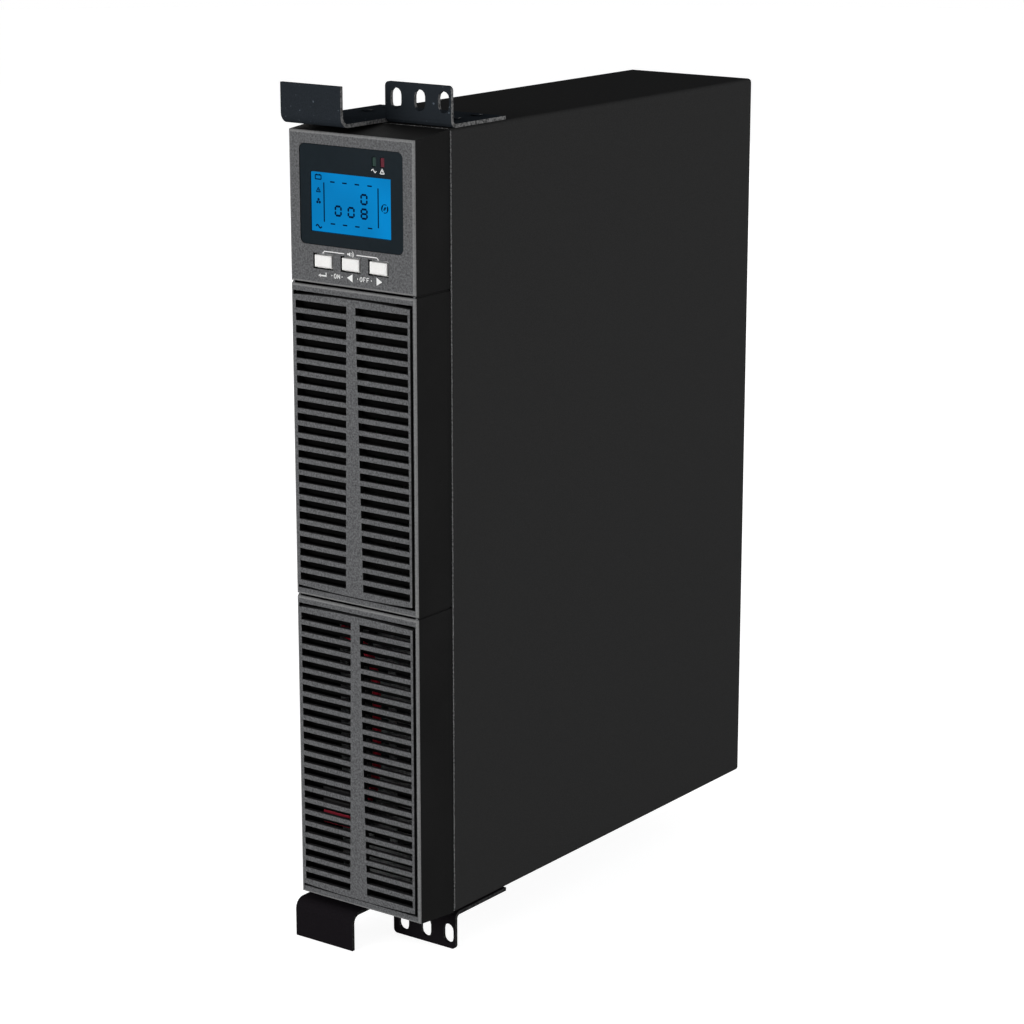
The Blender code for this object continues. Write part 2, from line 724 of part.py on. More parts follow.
def make_display_bezel():
    bezel = make_moulding("display_bezel", UPPER_SEAM + SEAM / 2, None, DISPLAY_FACE, (0.0, 0.0, 0.0))
    pocket = bmesh.new()
    add_prism(pocket, "XZ", [fascia_outline(FASCIA_CLEARANCE)], -1.0, FASCIA_BACK + GAP)
    cut(bezel, pocket)
    holes = bmesh.new()
    through = (-1.0, DISPLAY_FACE + 1)
    add_prism(holes, "XZ", [rectangle(*lcd_rectangle(GAP))], *through)
    for x in LIGHT_X:
        add_prism(holes, "XZ", [light_outline(x, GAP)], *through)
    opening = (KEY_WIDTH + 2 * KEY_CLEARANCE, KEY_HEIGHT + 2 * KEY_CLEARANCE)
    for place in key_places():
        add_prism(holes, "XZ", [centred(place, opening)], *through)
    cut(bezel, holes)
    bosses = bmesh.new()
    low, high = display_board_outline()
    inset = 1.5 * BOSS_RADIUS
    for x in (low[0] + inset, high[0] - inset):
        for z in (low[1] + BOSS_RADIUS, high[1] - BOSS_RADIUS):
            boss = circle((x, z), BOSS_RADIUS, 10)
            add_prism(bosses, "XZ", [boss], DISPLAY_FACE - FUSE, DISPLAY_BOARD_SET - GAP)
    join(bezel, bosses)


def make_display():
    fascia = bmesh.new()
    holes = [rectangle(*lcd_rectangle(GAP))] + [light_outline(x, GAP) for x in LIGHT_X]
    add_prism(fascia, "XZ", [fascia_outline(0.0)] + holes, FASCIA_SET, FASCIA_BACK)
    piece("display_fascia", fascia, BLACK_GLOSS)

    glass = bmesh.new()
    add_prism(glass, "XZ", [rectangle(*lcd_rectangle(0.0))], FASCIA_SET + GAP, DISPLAY_FACE + FUSE + GAP)
    module = piece("lcd_module", glass, BLUE_GLASS)
    frame = bmesh.new()
    frame_outline = rectangle(*lcd_rectangle(LCD_FRAME_MARGIN))
    add_prism(frame, "XZ", [frame_outline], DISPLAY_FACE + GAP, DISPLAY_BOARD_SET - GAP)
    join(module, frame)

    chip_height = 1.5
    pipe_end = DISPLAY_BOARD_SET - chip_height - GAP
    lights = (("mains_light_pipe", GREEN_LIGHT), ("fault_light_pipe", RED_LIGHT))
    for (name, material), x in zip(lights, LIGHT_X):
        pipe = bmesh.new()
        add_prism(pipe, "XZ", [light_outline(x, 0.0)], FASCIA_SET + GAP, pipe_end)
        piece(name, pipe, material)

    board = bmesh.new()
    back = DISPLAY_BOARD_SET + BOARD_THICKNESS
    add_prism(board, "XZ", [rectangle(*display_board_outline())], DISPLAY_BOARD_SET, back)
    board = piece("display_board", board, BOARD_GREEN)
    parts = bmesh.new()
    seat = DISPLAY_BOARD_SET + FUSE
    for place in key_places():
        switch = centred(place, (SWITCH_SIDE, SWITCH_SIDE))
        add_prism(parts, "XZ", [switch], DISPLAY_BOARD_SET - SWITCH_HEIGHT, seat)
    for x in LIGHT_X:
        add_prism(parts, "XZ", [light_outline(x, -GAP)], DISPLAY_BOARD_SET - chip_height, seat)
    header = centred((0.0, LIGHT_Z - LIGHT_HEIGHT), (5 * HEADER_WIDTH, HEADER_WIDTH))
    add_prism(parts, "XZ", [header], back - FUSE, back + HEADER_WIDTH)
    join(board, parts)


def make_key(name, place):
    x, z = place
    origin = (x, 0.0, z)
    cap = bmesh.new()
    outline = centred(place, (KEY_WIDTH, KEY_HEIGHT))
    add_prism(cap, "XZ", [outline], -KEY_PROUD, DISPLAY_FACE + GAP + FUSE / 2)
    round_edges(cap, lambda point: point.y < 0, KEY_FLANGE_THICKNESS)
    key = piece(name, cap, WHITE_KEY, origin)
    flange_front = DISPLAY_FACE + GAP
    flange_back = flange_front + KEY_FLANGE_THICKNESS
    flange = bmesh.new()
    size = (KEY_WIDTH + 2 * KEY_FLANGE, KEY_HEIGHT + 2 * KEY_FLANGE)
    add_prism(flange, "XZ", [centred(place, size)], flange_front, flange_back)
    join(key, flange)
    plunger = bmesh.new()
    end = DISPLAY_BOARD_SET - SWITCH_HEIGHT - KEY_TRAVEL - GAP
    add_prism(plunger, "XZ", [circle(place, SWITCH_SIDE / 3, 12)], flange_back - FUSE / 2, end)
    join(key, plunger)


def panel_half_width():
    return HALF - STILE - GROOVE


def louvre_rows(low, high):
    """Lower edges of the louvre openings, spread evenly between two heights at about the pitch."""
    room = high - low - LOUVRE_OPENING
    steps = round(room / LOUVRE_PITCH)
    return [low + room * row / steps for row in range(steps + 1)]


def louvre_loops(rows, draft):
    """Two columns of openings beside a rib that widens downwards."""
    outer = panel_half_width() - LOUVRE_BORDER
    loops = []
    for low in rows:
        ends = []
        for z in (low - draft, low + LOUVRE_OPENING + draft):
            share = (z - rows[0]) / (rows[-1] + LOUVRE_OPENING - rows[0])
            ends.append((z, (RIB_BOTTOM + (RIB_TOP - RIB_BOTTOM) * share) / 2))
        (z_low, rib_low), (z_high, rib_high) = ends
        for side in (-1, 1):
            loops.append([(side * rib_low, z_low), (side * outer, z_low), (side * outer, z_high),
                          (side * rib_high, z_high)])
    return loops


def panel_outline(low, high):
    """The insert's outline, with both ends slightly arched."""
    half = panel_half_width()
    steps = 10
    across = [half - 2 * half * step / steps for step in range(steps + 1)]
    top = [(x, high + LOUVRE_ARCH * (1 - (x / half) ** 2)) for x in across]
    bottom = [(-x, low - LOUVRE_ARCH * (1 - (x / half) ** 2)) for x in across]
    return top + bottom


def make_cover(name, low, high, clips):
    """A pull-off cover: an open frame with clip arms, and the louvre insert held in it."""
    low_edge = END_TAPER if low is None else low
    origin = (0.0, 0.0, (low_edge + high) / 2)
    frame = make_moulding(name + "_cover_frame", low, high, COVER_FACE, origin)
    opening_low = low_edge + RAIL
    opening_high = high - RAIL
    opening = bmesh.new()
    half = HALF - STILE
    add_prism(opening, "XZ", [rectangle((-half, opening_low), (half, opening_high))], -1.0, COVER_FACE + 1)
    cut(frame, opening)
    arms = bmesh.new()
    root = BEZEL_BACK - GAP
    tip = BEZEL_BACK + CLIP_REACH
    for wall, inward in clips:
        near = wall + inward * CLIP_RISE
        far = near + inward * CLIP_THICKNESS
        base = wall - inward * FUSE
        outline = [(root - CLIP_ROOT, base), (root, base), (root, near), (tip - CLIP_TIP, near),
                   (tip, near + inward * CLIP_TIP / 2), (tip, far), (root - CLIP_ROOT, far)]
        for x in (-CLIP_X, CLIP_X):
            add_prism(arms, "YZ", [outline], x - CLIP_WIDTH / 2, x + CLIP_WIDTH / 2)
    join(frame, arms)
    ribs = bmesh.new()
    outer = HALF - BEZEL_INSET - SEAM_RIB_SET
    inner = outer - SEAM_RIB_WIDTH
    for span in ((-outer, -inner), (inner, outer)):
        add_block(ribs, span, (SEAM_RIB_START, BEZEL_BACK - SEAM_RIB_START), (high - FUSE, high + SEAM - GAP))
    join(frame, ribs)

    panel_low = opening_low + GROOVE + LOUVRE_ARCH
    panel_high = opening_high - GROOVE - LOUVRE_ARCH
    rows = louvre_rows(panel_low + LOUVRE_END, panel_high - LOUVRE_END)
    tab_front = COVER_FACE + GAP
    back = tab_front + TAB_THICKNESS
    outline = panel_outline(panel_low, panel_high)
    bm = bmesh.new()
    slat_back = -LOUVRE_PROUD + LOUVRE_DEPTH
    add_prism(bm, "XZ", [outline], -LOUVRE_PROUD, slat_back)
    panel = piece(name + "_louvre_panel", bm, GREY_PLASTIC, origin)
    openings = bmesh.new()
    beyond = LOUVRE_DRAFT * FUSE / LOUVRE_DEPTH
    for front, rear in zip(louvre_loops(rows, -beyond), louvre_loops(rows, LOUVRE_DRAFT + beyond)):
        add_loft(openings, "XZ", [front], [rear], -LOUVRE_PROUD - FUSE, slat_back + FUSE)
    cut(panel, openings)
    rim = bmesh.new()
    inner = panel_half_width() - LOUVRE_BORDER
    window_high = rows[-1] + LOUVRE_OPENING + LOUVRE_BORDER
    window = rectangle((-inner, rows[0] - LOUVRE_BORDER), (inner, window_high))
    add_prism(rim, "XZ", [outline, window], slat_back - FUSE, back)
    join(panel, rim)
    tabs = bmesh.new()
    half_tab = TAB_LENGTH / 2
    for edge, outward in ((opening_low, -1), (opening_high, 1)):
        root = GROOVE + LOUVRE_ARCH + LOUVRE_END / 3
        span = sorted((edge + outward * TAB_REACH, edge - outward * root))
        add_block(tabs, (-half_tab, half_tab), (tab_front, back - FUSE / 2), span)
    join(panel, tabs)


# Rack ears

def rack_slots(height):
    side = HALF - RACK_SLOT_FROM_SIDE
    centres = [(side - index * RACK_SLOT_PITCH, height) for index in range(3)]
    return [upright_slot(centre, RACK_SLOT_WIDTH, RACK_SLOT_LENGTH) for centre in centres]


def make_ear(name, end, outward):
    """An ear on one end face of the case, with a slotted flange and a grip flange ahead of the bezel."""
    seat = end + outward * GAP
    leaf = seat + outward * EAR_SHEET / 2
    tip = end + outward * EAR_RISE
    half_sheet = EAR_SHEET / 2
    back = FRONT + EAR_LEAF
    bm = bmesh.new()
    leaf_span = sorted((seat, seat + outward * EAR_SHEET))
    add_block(bm, (-HALF, HALF), (FRONT + RELIEF, back), leaf_span)
    ear = piece(name, bm, BLACK_PAINT)

    lap = FRONT + RELIEF + FUSE
    flange_path = [(lap, leaf), (FRONT + half_sheet, leaf), (FRONT + half_sheet, tip)]
    flange = bmesh.new()
    add_prism(flange, "YZ", [folded(flange_path, EAR_SHEET, EAR_BEND)], HALF - FLANGE_WIDTH, HALF)
    join(ear, flange)
    grip_path = [(lap, leaf), (FOREMOST + half_sheet, leaf), (FOREMOST + half_sheet, tip)]
    grip = bmesh.new()
    add_prism(grip, "YZ", [folded(grip_path, EAR_SHEET, GRIP_BEND, 5)], -HALF, -HALF + GRIP_WIDTH)
    join(ear, grip)

    slots = bmesh.new()
    through = (FRONT - 1, FRONT + EAR_SHEET + 1)
    for outline in rack_slots(tip - outward * RACK_SLOT_FROM_END):
        add_prism(slots, "XZ", [outline], *through)
    cut(ear, slots)
    corners = bmesh.new()
    for corner_x, inward in ((HALF - FLANGE_WIDTH, 1), (HALF, -1)):
        centre = (corner_x + inward * EAR_CORNER, tip - outward * EAR_CORNER)
        start = 90 * outward
        sweep = 90 * outward * inward
        waste = arc(centre, EAR_CORNER, start, start + sweep, 5)
        outside = corner_x - inward
        beyond = tip + outward
        waste += [(outside, centre[1]), (outside, beyond), (centre[0], beyond)]
        add_prism(corners, "XZ", [waste], *through)
    cut(ear, corners)


# Battery bay

def make_battery_tray():
    wall = BATTERY_WIDTH / 2 + TRAY_CLEARANCE + SHEET / 2
    floor = TRAY_FLOOR + SHEET / 2
    path = [(-wall, floor + TRAY_WALL), (-wall, floor), (wall, floor), (wall, floor + TRAY_WALL)]
    start = PLATE_FACE + PANEL_LIP + GAP
    end = BATTERY_START + 2 * (BATTERY_BODY + BATTERY_LID) + BATTERY_FACE_GAP
    bm = bmesh.new()
    add_prism(bm, "XZ", [folded(path, SHEET, BEND)], start, end)
    piece("battery_tray", bm, ZINC)


def battery_faces():
    """Depth of the terminal faces of the front and the rear battery, which look at each other."""
    front = BATTERY_START + BATTERY_BODY + BATTERY_LID
    return front, front + BATTERY_FACE_GAP


def terminal_heights():
    return BATTERY_LOW + TERMINAL_FROM_END, BATTERY_HIGH - TERMINAL_FROM_END


def make_battery(name, face, outward):
    half = BATTERY_WIDTH / 2
    foot = face - outward * (BATTERY_BODY + BATTERY_LID)
    shoulder = face - outward * BATTERY_LID
    bm = bmesh.new()
    add_block(bm, (-half, half), sorted((foot, shoulder)), (BATTERY_LOW, BATTERY_HIGH))
    battery = piece(name, bm, BATTERY_GREY)
    lid = bmesh.new()
    inset = BATTERY_LID_INSET
    reach = sorted((shoulder - outward * FUSE, face))
    add_block(lid, (-half + inset, half - inset), reach, (BATTERY_LOW + inset, BATTERY_HIGH - inset))
    join(battery, lid)
    tabs = bmesh.new()
    for height in terminal_heights():
        across = (TERMINAL_X - TERMINAL_WIDTH / 2, TERMINAL_X + TERMINAL_WIDTH / 2)
        along = sorted((face - outward * FUSE, face + outward * TERMINAL_LENGTH))
        thick = (height - TERMINAL_THICKNESS / 2, height + TERMINAL_THICKNESS / 2)
        add_block(tabs, across, along, thick)
    join(battery, tabs)


def make_battery_link():
    front, rear = battery_faces()
    low = terminal_heights()[0] + TERMINAL_THICKNESS / 2 + GAP
    half = TERMINAL_WIDTH / 2
    bm = bmesh.new()
    across = (TERMINAL_X - half, TERMINAL_X + half)
    add_block(bm, across, (front + GAP, rear - GAP), (low, low + TERMINAL_THICKNESS))
    piece("battery_link", bm, BRASS)


def make_battery_door():
    holes = []
    columns, rows = DOOR_SLOT_COUNT
    for row in range(rows):
        for column in range(columns):
            x = DOOR_SLOT_START[0] + column * DOOR_SLOT_STEP[0]
            z = DOOR_SLOT_START[1] + row * DOOR_SLOT_STEP[1]
            outline = centred((x, z), (DOOR_SLOT_WIDTH, DOOR_SLOT_HEIGHT))
            beside_plug = outline[0][0] < PLUG_X[1] + 2 and PLUG_Z[0] - 4 < z < PLUG_Z[1] + 4
            if not beside_plug and outline[2][1] < LEAD_HOLE_Z - LEAD_HOLE_RADIUS - 1:
                holes.append(outline)
    for x in (POSITIVE_HOLE_X, NEGATIVE_HOLE_X):
        holes.append(circle((x, LEAD_HOLE_Z), LEAD_HOLE_RADIUS, 12))
    step = SOCKET_STEP - GAP
    socket_low = (PLUG_X[0] + step, PLUG_Z[0] + step)
    socket_high = (PLUG_X[1] - step, PLUG_Z[1] - step)
    holes.append(rectangle(socket_low, socket_high))
    outline = rounded((-DOOR_HALF_WIDTH, DOOR_LOW), (DOOR_HALF_WIDTH, DOOR_HIGH), 3.0, 3)
    bm = bmesh.new()
    add_prism(bm, "XZ", [outline] + holes, DOOR_BACK - DOOR_SHEET, DOOR_BACK)
    piece("battery_door", bm, BLACK_PAINT)


def make_battery_connector():
    plug = bmesh.new()
    add_block(plug, PLUG_X, PLUG_Y, PLUG_Z)
    round_edges(plug, lambda point: point.y < PLUG_Y[0] + GAP, 1.0, 1)
    plug = piece("battery_plug", plug, GREY_PLASTIC)
    grooves = bmesh.new()
    middle = (PLUG_Z[0] + PLUG_Z[1]) / 2
    across = (PLUG_X[0] - 1, PLUG_X[1] + 1)
    half_groove = PLUG_GROOVE_WIDTH / 2
    depth = (PLUG_Y[0] - 1, PLUG_Y[0] + PLUG_GROOVE_DEPTH)
    add_block(grooves, across, depth, (middle - half_groove, middle + half_groove))
    cut(plug, grooves)
    socket = bmesh.new()
    start = PLUG_Y[1] + GAP
    step = SOCKET_STEP
    across = (PLUG_X[0] + step, PLUG_X[1] - step)
    add_block(socket, across, (start, start + SOCKET_DEPTH), (PLUG_Z[0] + step, PLUG_Z[1] - step))
    piece("battery_socket", socket, BLACK_PLASTIC)


def smooth_route(points, spacing):
    """Points along a Catmull-Rom curve through a route, about one spacing apart."""
    ends = [points[0]] + list(points) + [points[-1]]
    knots = [Vector(point) for point in ends]
    route = []
    for before, start, end, after in zip(knots, knots[1:], knots[2:], knots[3:]):
        steps = max(1, round((end - start).length / spacing))
        for step in range(steps):
            t = step / steps
            ahead = (end - before) * t + (2 * before - 5 * start + 4 * end - after) * t ** 2
            route.append(start + (ahead + (3 * start - before - 3 * end + after) * t ** 3) / 2)
    return route + [knots[-1]]


def make_lead(name, route, material):
    curve = bpy.data.curves.new(name, "CURVE")
    curve.dimensions = "3D"
    curve.bevel_depth = LEAD_RADIUS * MM
    curve.bevel_resolution = 2
    curve.use_fill_caps = True
    points = smooth_route(route, LEAD_POINT_SPACING)
    spline = curve.splines.new("POLY")
    spline.points.add(len(points) - 1)
    for target, point in zip(spline.points, points):
        target.co = (*(point * MM), 1.0)
    curve.materials.append(material)
    lead = bpy.data.objects.new(name, curve)
    lead.parent = ASSEMBLY
    bpy.context.collection.objects.link(lead)


# Power electronics

def make_power_board():
    outline = rectangle((BOARD_START, BOARD_LOW), (BOARD_START + BOARD_LENGTH, BOARD_HIGH))
    holes = [circle(place, STUD_RADIUS / 2, 8) for place in board_holes()]
    bm = bmesh.new()
    add_prism(bm, "YZ", [outline] + holes, BOARD_X, BOARD_FACE)
    piece("power_board", bm, BOARD_GREEN)


def make_heatsink(name, base, inward):
    """An extruded comb: the base stands on the board and the fins lie along the air path."""
    top = COMPONENT_X + HEATSINK_HEIGHT
    pitch = (HEATSINK_HEIGHT - HEATSINK_FIN) / (HEATSINK_FINS - 1)
    root = base + inward * HEATSINK_BASE
    tip = root + inward * HEATSINK_FIN_LENGTH
    outline = [(COMPONENT_X, base), (top, base)]
    for fin in reversed(range(HEATSINK_FINS)):
        low = COMPONENT_X + fin * pitch
        outline += [(low + HEATSINK_FIN, tip), (low, tip)]
        if fin:
            outline += [(low, root), (low - pitch + HEATSINK_FIN, root)]
    bm = bmesh.new()
    add_prism(bm, "XZ", [outline], HEATSINK_START, HEATSINK_START + HEATSINK_LENGTH)
    piece(name, bm, ALUMINIUM)


def make_capacitor(name, y, z):
    radius = CAPACITOR_RADIUS
    edge = CAPACITOR_ROUND
    height = CAPACITOR_HEIGHT
    crown = height - edge / 3
    profile = [(0, 0), (radius - edge / 2, 0), (radius, edge / 2), (radius, height - edge),
               (radius - edge, height), (radius - 2 * edge, crown), (0, crown)]
    bm = bmesh.new()
    add_turned(bm, profile, (COMPONENT_X, y, z), "X", 20)
    smooth(piece(name, bm, SLEEVE_BLUE))


def make_inductor(name, y, z):
    """A wound toroid standing on the board."""
    bm = bmesh.new()
    sides, section = 20, 10
    rings = []
    for side in range(sides):
        angle = 2 * math.pi * side / sides
        ring = []
        for across, out in circle((0.0, 0.0), TOROID_WINDING, section):
            reach = TOROID_RADIUS + out
            centre_x = COMPONENT_X + TOROID_RADIUS + TOROID_WINDING
            place = (centre_x + reach * math.cos(angle), y + across, z + reach * math.sin(angle))
            ring.append(bm.verts.new(place))
        rings.append(ring)
    for index in range(sides):
        for step in range(section):
            before, after = rings[index - 1], rings[index]
            bm.faces.new((before[step - 1], before[step], after[step], after[step - 1]))
    smooth(piece(name, bm, COPPER))


def make_transformer(y, z):
    width, length, height = CORE_SIZE
    bm = bmesh.new()
    low, high = z - height / 2, z + height / 2
    left, right = COMPONENT_X, COMPONENT_X + width
    outline = rectangle((left, low), (right, high))
    window = rectangle((left + CORE_LEG, low + CORE_LEG), (right - CORE_LEG, high - CORE_LEG))
    add_prism(bm, "XZ", [outline, window], y - length / 3, y + length / 3)
    core = piece("transformer", bm, FERRITE)
    winding = bmesh.new()
    middle = COMPONENT_X + width / 2
    add_block(winding, (middle - BOBBIN_HEIGHT / 2, middle + BOBBIN_HEIGHT / 2),
              (y - length / 2, y + length / 2), (low + CORE_LEG - FUSE, high - CORE_LEG + FUSE))
    join(core, winding)


def make_relay(name, y, z):
    height, length, width = RELAY_SIZE
    bm = bmesh.new()
    add_block(bm, (COMPONENT_X, COMPONENT_X + height), (y, y + width), (z - length / 2, z + length / 2))
    round_edges(bm, lambda point: point.x > COMPONENT_X + GAP, 0.8, 1)
    piece(name, bm, BLACK_PLASTIC)


def make_control_board():
    z = BOARD_LOW + CONTROL_BOARD_ABOVE
    start = CONTROL_BOARD_START
    bm = bmesh.new()
    across = (COMPONENT_X, COMPONENT_X + CONTROL_BOARD_WIDTH)
    add_block(bm, across, (start, start + CONTROL_BOARD_LENGTH), (z, z + BOARD_THICKNESS))
    board = piece("control_board", bm, BOARD_GREEN)
    parts = bmesh.new()
    seat = z + BOARD_THICKNESS - FUSE
    edge = start + HEADER_WIDTH
    header = (COMPONENT_X, COMPONENT_X + HEADER_WIDTH)
    header_end = start + CONTROL_BOARD_LENGTH - HEADER_WIDTH
    add_block(parts, header, (edge, header_end), (seat, seat + HEADER_WIDTH))
    chip = (COMPONENT_X + 3 * HEADER_WIDTH, COMPONENT_X + 5 * HEADER_WIDTH)
    chip_span = (edge + 2 * HEADER_WIDTH, edge + 4 * HEADER_WIDTH)
    add_block(parts, chip, chip_span, (seat, seat + HEADER_WIDTH / 3))
    capacitor = circle((chip[1] + HEADER_WIDTH, edge), HEADER_WIDTH, 16)
    add_prism(parts, "XY", [capacitor], seat, seat + HEADER_WIDTH)
    join(board, parts)


def make_electronics():
    make_power_board()
    make_heatsink("lower_heat_sink", BOARD_LOW + HEATSINK_FROM_EDGE, 1)
    make_heatsink("upper_heat_sink", BOARD_HIGH - HEATSINK_FROM_EDGE, -1)
    middle = (BOARD_LOW + BOARD_HIGH) / 2
    for row, z in enumerate((middle + CAPACITOR_PITCH, middle + 2 * CAPACITOR_PITCH)):
        for column in range(2):
            name = "bus_capacitor_%d" % (2 * row + column + 1)
            make_capacitor(name, CAPACITOR_START + column * CAPACITOR_PITCH, z)
    make_inductor("boost_inductor", TOROID_START, middle)
    make_inductor("output_inductor", TOROID_START + TOROID_PITCH, middle)
    make_transformer(CORE_START, middle)
    for index in range(2):
        make_relay("relay_%d" % (index + 1), RELAY_START + index * RELAY_PITCH, middle - 2 * RELAY_SIZE[0])
    make_control_board()


# Fan

def make_fan_frame():
    half = FAN_SIZE / 2
    outline = rounded((-half, FAN_Z - half), (half, FAN_Z + half), FAN_CORNER, 3)
    screw = FAN_SCREW_PITCH / 2
    holes = [circle((0.0, FAN_Z), FAN_BORE, 32)]
    holes += [circle((x, FAN_Z + z), FAN_SCREW_RADIUS, 8) for x in (-screw, screw) for z in (-screw, screw)]
    bm = bmesh.new()
    add_prism(bm, "XZ", [outline] + holes, FAN_FRONT, FAN_BACK)
    frame = piece("fan_frame", bm, BLACK_PLASTIC)
    hub = bmesh.new()
    hub_front = FAN_BACK - FAN_HUB_PLATE
    add_prism(hub, "XZ", [circle((0.0, FAN_Z), FAN_HUB, 20)], hub_front, FAN_BACK - GAP)
    join(frame, hub)
    for angle in (45.0, 135.0):
        strut = bmesh.new()
        swing = Matrix.Rotation(math.radians(angle), 2)
        reach = FAN_BORE + FUSE
        outline = [swing @ Vector(point) for point in centred((0.0, 0.0), (2 * reach, FAN_STRUT))]
        loop = [(point.x, point.y + FAN_Z) for point in outline]
        add_prism(strut, "XZ", [loop], hub_front + FUSE, FAN_BACK - 2 * GAP)
        join(frame, strut)


def add_blade(bm, base_angle, front, back):
    """A swept blade, wound from its leading edge at the front to its trailing edge at the back."""
    stations = 4
    layers = []
    for offset in (-FAN_BLADE_THICKNESS / 2, FAN_BLADE_THICKNESS / 2):
        grid = []
        for radial in range(stations):
            radius = FAN_HUB - 1 + (FAN_TIP - FAN_HUB + 1) * radial / (stations - 1)
            row = []
            for chord in range(stations):
                share = chord / (stations - 1)
                angle = math.radians(base_angle + FAN_BLADE_SWEEP * share)
                depth = front + (back - front) * share + offset
                place = (radius * math.cos(angle), depth, FAN_Z + radius * math.sin(angle))
                row.append(bm.verts.new(place))
            grid.append(row)
        layers.append(grid)
    low, high = layers
    last = stations - 1
    for i in range(last):
        for j in range(last):
            for grid in layers:
                bm.faces.new((grid[i][j], grid[i][j + 1], grid[i + 1][j + 1], grid[i + 1][j]))
        for edge in (0, last):
            bm.faces.new((low[i][edge], low[i + 1][edge], high[i + 1][edge], high[i][edge]))
            bm.faces.new((low[edge][i], low[edge][i + 1], high[edge][i + 1], high[edge][i]))


def make_fan_rotor():
    back = FAN_BACK - FAN_HUB_PLATE - FAN_RUNNING_GAP
    front = FAN_FRONT + 1.5
    profile = [(0, front), (FAN_HUB - 2, front), (FAN_HUB, front + 2), (FAN_HUB, back), (0, back)]
    bm = bmesh.new()
    add_turned(bm, profile, (0.0, 0.0, FAN_Z), "Y", 28)
    rotor = piece("fan_rotor", bm, BLACK_PLASTIC, (0.0, (front + back) / 2, FAN_Z))
    blades = bmesh.new()
    for index in range(FAN_BLADES):
        add_blade(blades, 360 * index / FAN_BLADES, front + 3, back - 2)
    join(rotor, blades)
    smooth(rotor)


# Rear sockets and ports

def make_socket_shell(name, place):
    low = (place[0] - SOCKET_FLANGE[0] / 2, place[1] - SOCKET_FLANGE[1] / 2)
    high = (place[0] + SOCKET_FLANGE[0] / 2, place[1] + SOCKET_FLANGE[1] / 2)
    seat = PANEL_FACE + GAP
    bm = bmesh.new()
    add_prism(bm, "XZ", [rounded(low, high, SOCKET_CORNER, 3)], seat, seat + SOCKET_FLANGE_THICKNESS)
    socket = piece(name, bm, BLACK_PLASTIC)
    body = bmesh.new()
    add_prism(body, "XZ", [centred(place, SOCKET_BODY)], seat + FUSE - SOCKET_BODY_DEPTH, seat + FUSE)
    join(socket, body)
    return socket, seat + SOCKET_FLANGE_THICKNESS


def pin_places(place):
    x, z = place
    line = z + PIN_LINE_OFFSET
    return [(x - PIN_SPREAD, line), (x, z + PIN_EARTH_OFFSET), (x + PIN_SPREAD, line)]


def make_inlet(place):
    socket, mouth = make_socket_shell("inlet_socket", place)
    floor = mouth - SOCKET_CAVITY_DEPTH
    cavity = bmesh.new()
    add_prism(cavity, "XZ", [chamfered(place, INLET_CAVITY, SOCKET_CHAMFER)], floor, mouth + 1)
    cut(socket, cavity)
    pins = bmesh.new()
    for pin in pin_places(place):
        add_prism(pins, "XZ", [centred(pin, PIN_SIZE)], floor - FUSE, floor + PIN_LENGTH)
    join(socket, pins)


def make_outlet(name, place):
    socket, mouth = make_socket_shell(name, place)
    floor = mouth - SOCKET_CAVITY_DEPTH
    moat = bmesh.new()
    loops = [chamfered(place, MOAT_OUTER, SOCKET_CHAMFER), chamfered(place, MOAT_INNER, SOCKET_CHAMFER)]
    add_prism(moat, "XZ", loops, floor, mouth + 1)
    cut(socket, moat)
    slots = bmesh.new()
    for pin in pin_places(place):
        slot = centred(pin, (PIN_SIZE[0] + 2 * GAP, PIN_SIZE[1] + 2 * GAP))
        add_prism(slots, "XZ", [slot], floor, mouth + 1)
    cut(socket, slots)


def make_breaker():
    place = (BREAKER_X, INLET_Z)
    behind = PANEL_FACE - SHEET - GAP
    bm = bmesh.new()
    add_prism(bm, "XZ", [centred(place, BREAKER_BODY)], behind - BREAKER_DEPTH, behind)
    breaker = piece("breaker_body", bm, BLACK_PLASTIC)
    bush = bmesh.new()
    add_prism(bush, "XZ", [circle(place, BUSH_RADIUS, 16)], behind - FUSE, PANEL_FACE + BUSH_STANDS)
    join(breaker, bush)
    nut = bmesh.new()
    add_prism(nut, "XZ", [circle(place, NUT_RADIUS, 6)], PANEL_FACE + GAP, PANEL_FACE + GAP + NUT_THICKNESS)
    join(breaker, nut)
    bore = bmesh.new()
    mouth = PANEL_FACE + BUSH_STANDS
    add_prism(bore, "XZ", [circle(place, BUSH_BORE, 16)], mouth - BUSH_BORE_DEPTH, mouth + 1)
    cut(breaker, bore)
    button = bmesh.new()
    start = mouth - BUSH_BORE_DEPTH + GAP
    end = mouth + BREAKER_BUTTON_STANDS
    radius = BREAKER_BUTTON_RADIUS
    profile = [(0, start), (radius, start), (radius, end - 0.6), (radius - 0.6, end), (0, end)]
    add_turned(button, profile, (BREAKER_X, 0.0, INLET_Z), "Y", 16)
    smooth(piece("breaker_button", button, BLACK_PLASTIC, (BREAKER_X, mouth, INLET_Z)))


def make_serial_port():
    place = (SERIAL_X, PORTS_Z)
    seat = PANEL_FACE + GAP
    bm = bmesh.new()
    add_prism(bm, "XZ", [centred(place, SERIAL_FLANGE)], seat, seat + 1.0)
    port = piece("serial_port", bm, ZINC)
    width, height = SERIAL_SHELL
    slant = height / 6
    left, right = SERIAL_X - width / 2, SERIAL_X + width / 2
    low, high = PORTS_Z - height / 2, PORTS_Z + height / 2
    outline = [(left + slant, low), (right - slant, low), (right, high), (left, high)]
    shell = bmesh.new()
    add_prism(shell, "XZ", [outline], seat - SERIAL_BODY, seat + SERIAL_STANDS)
    join(port, shell)


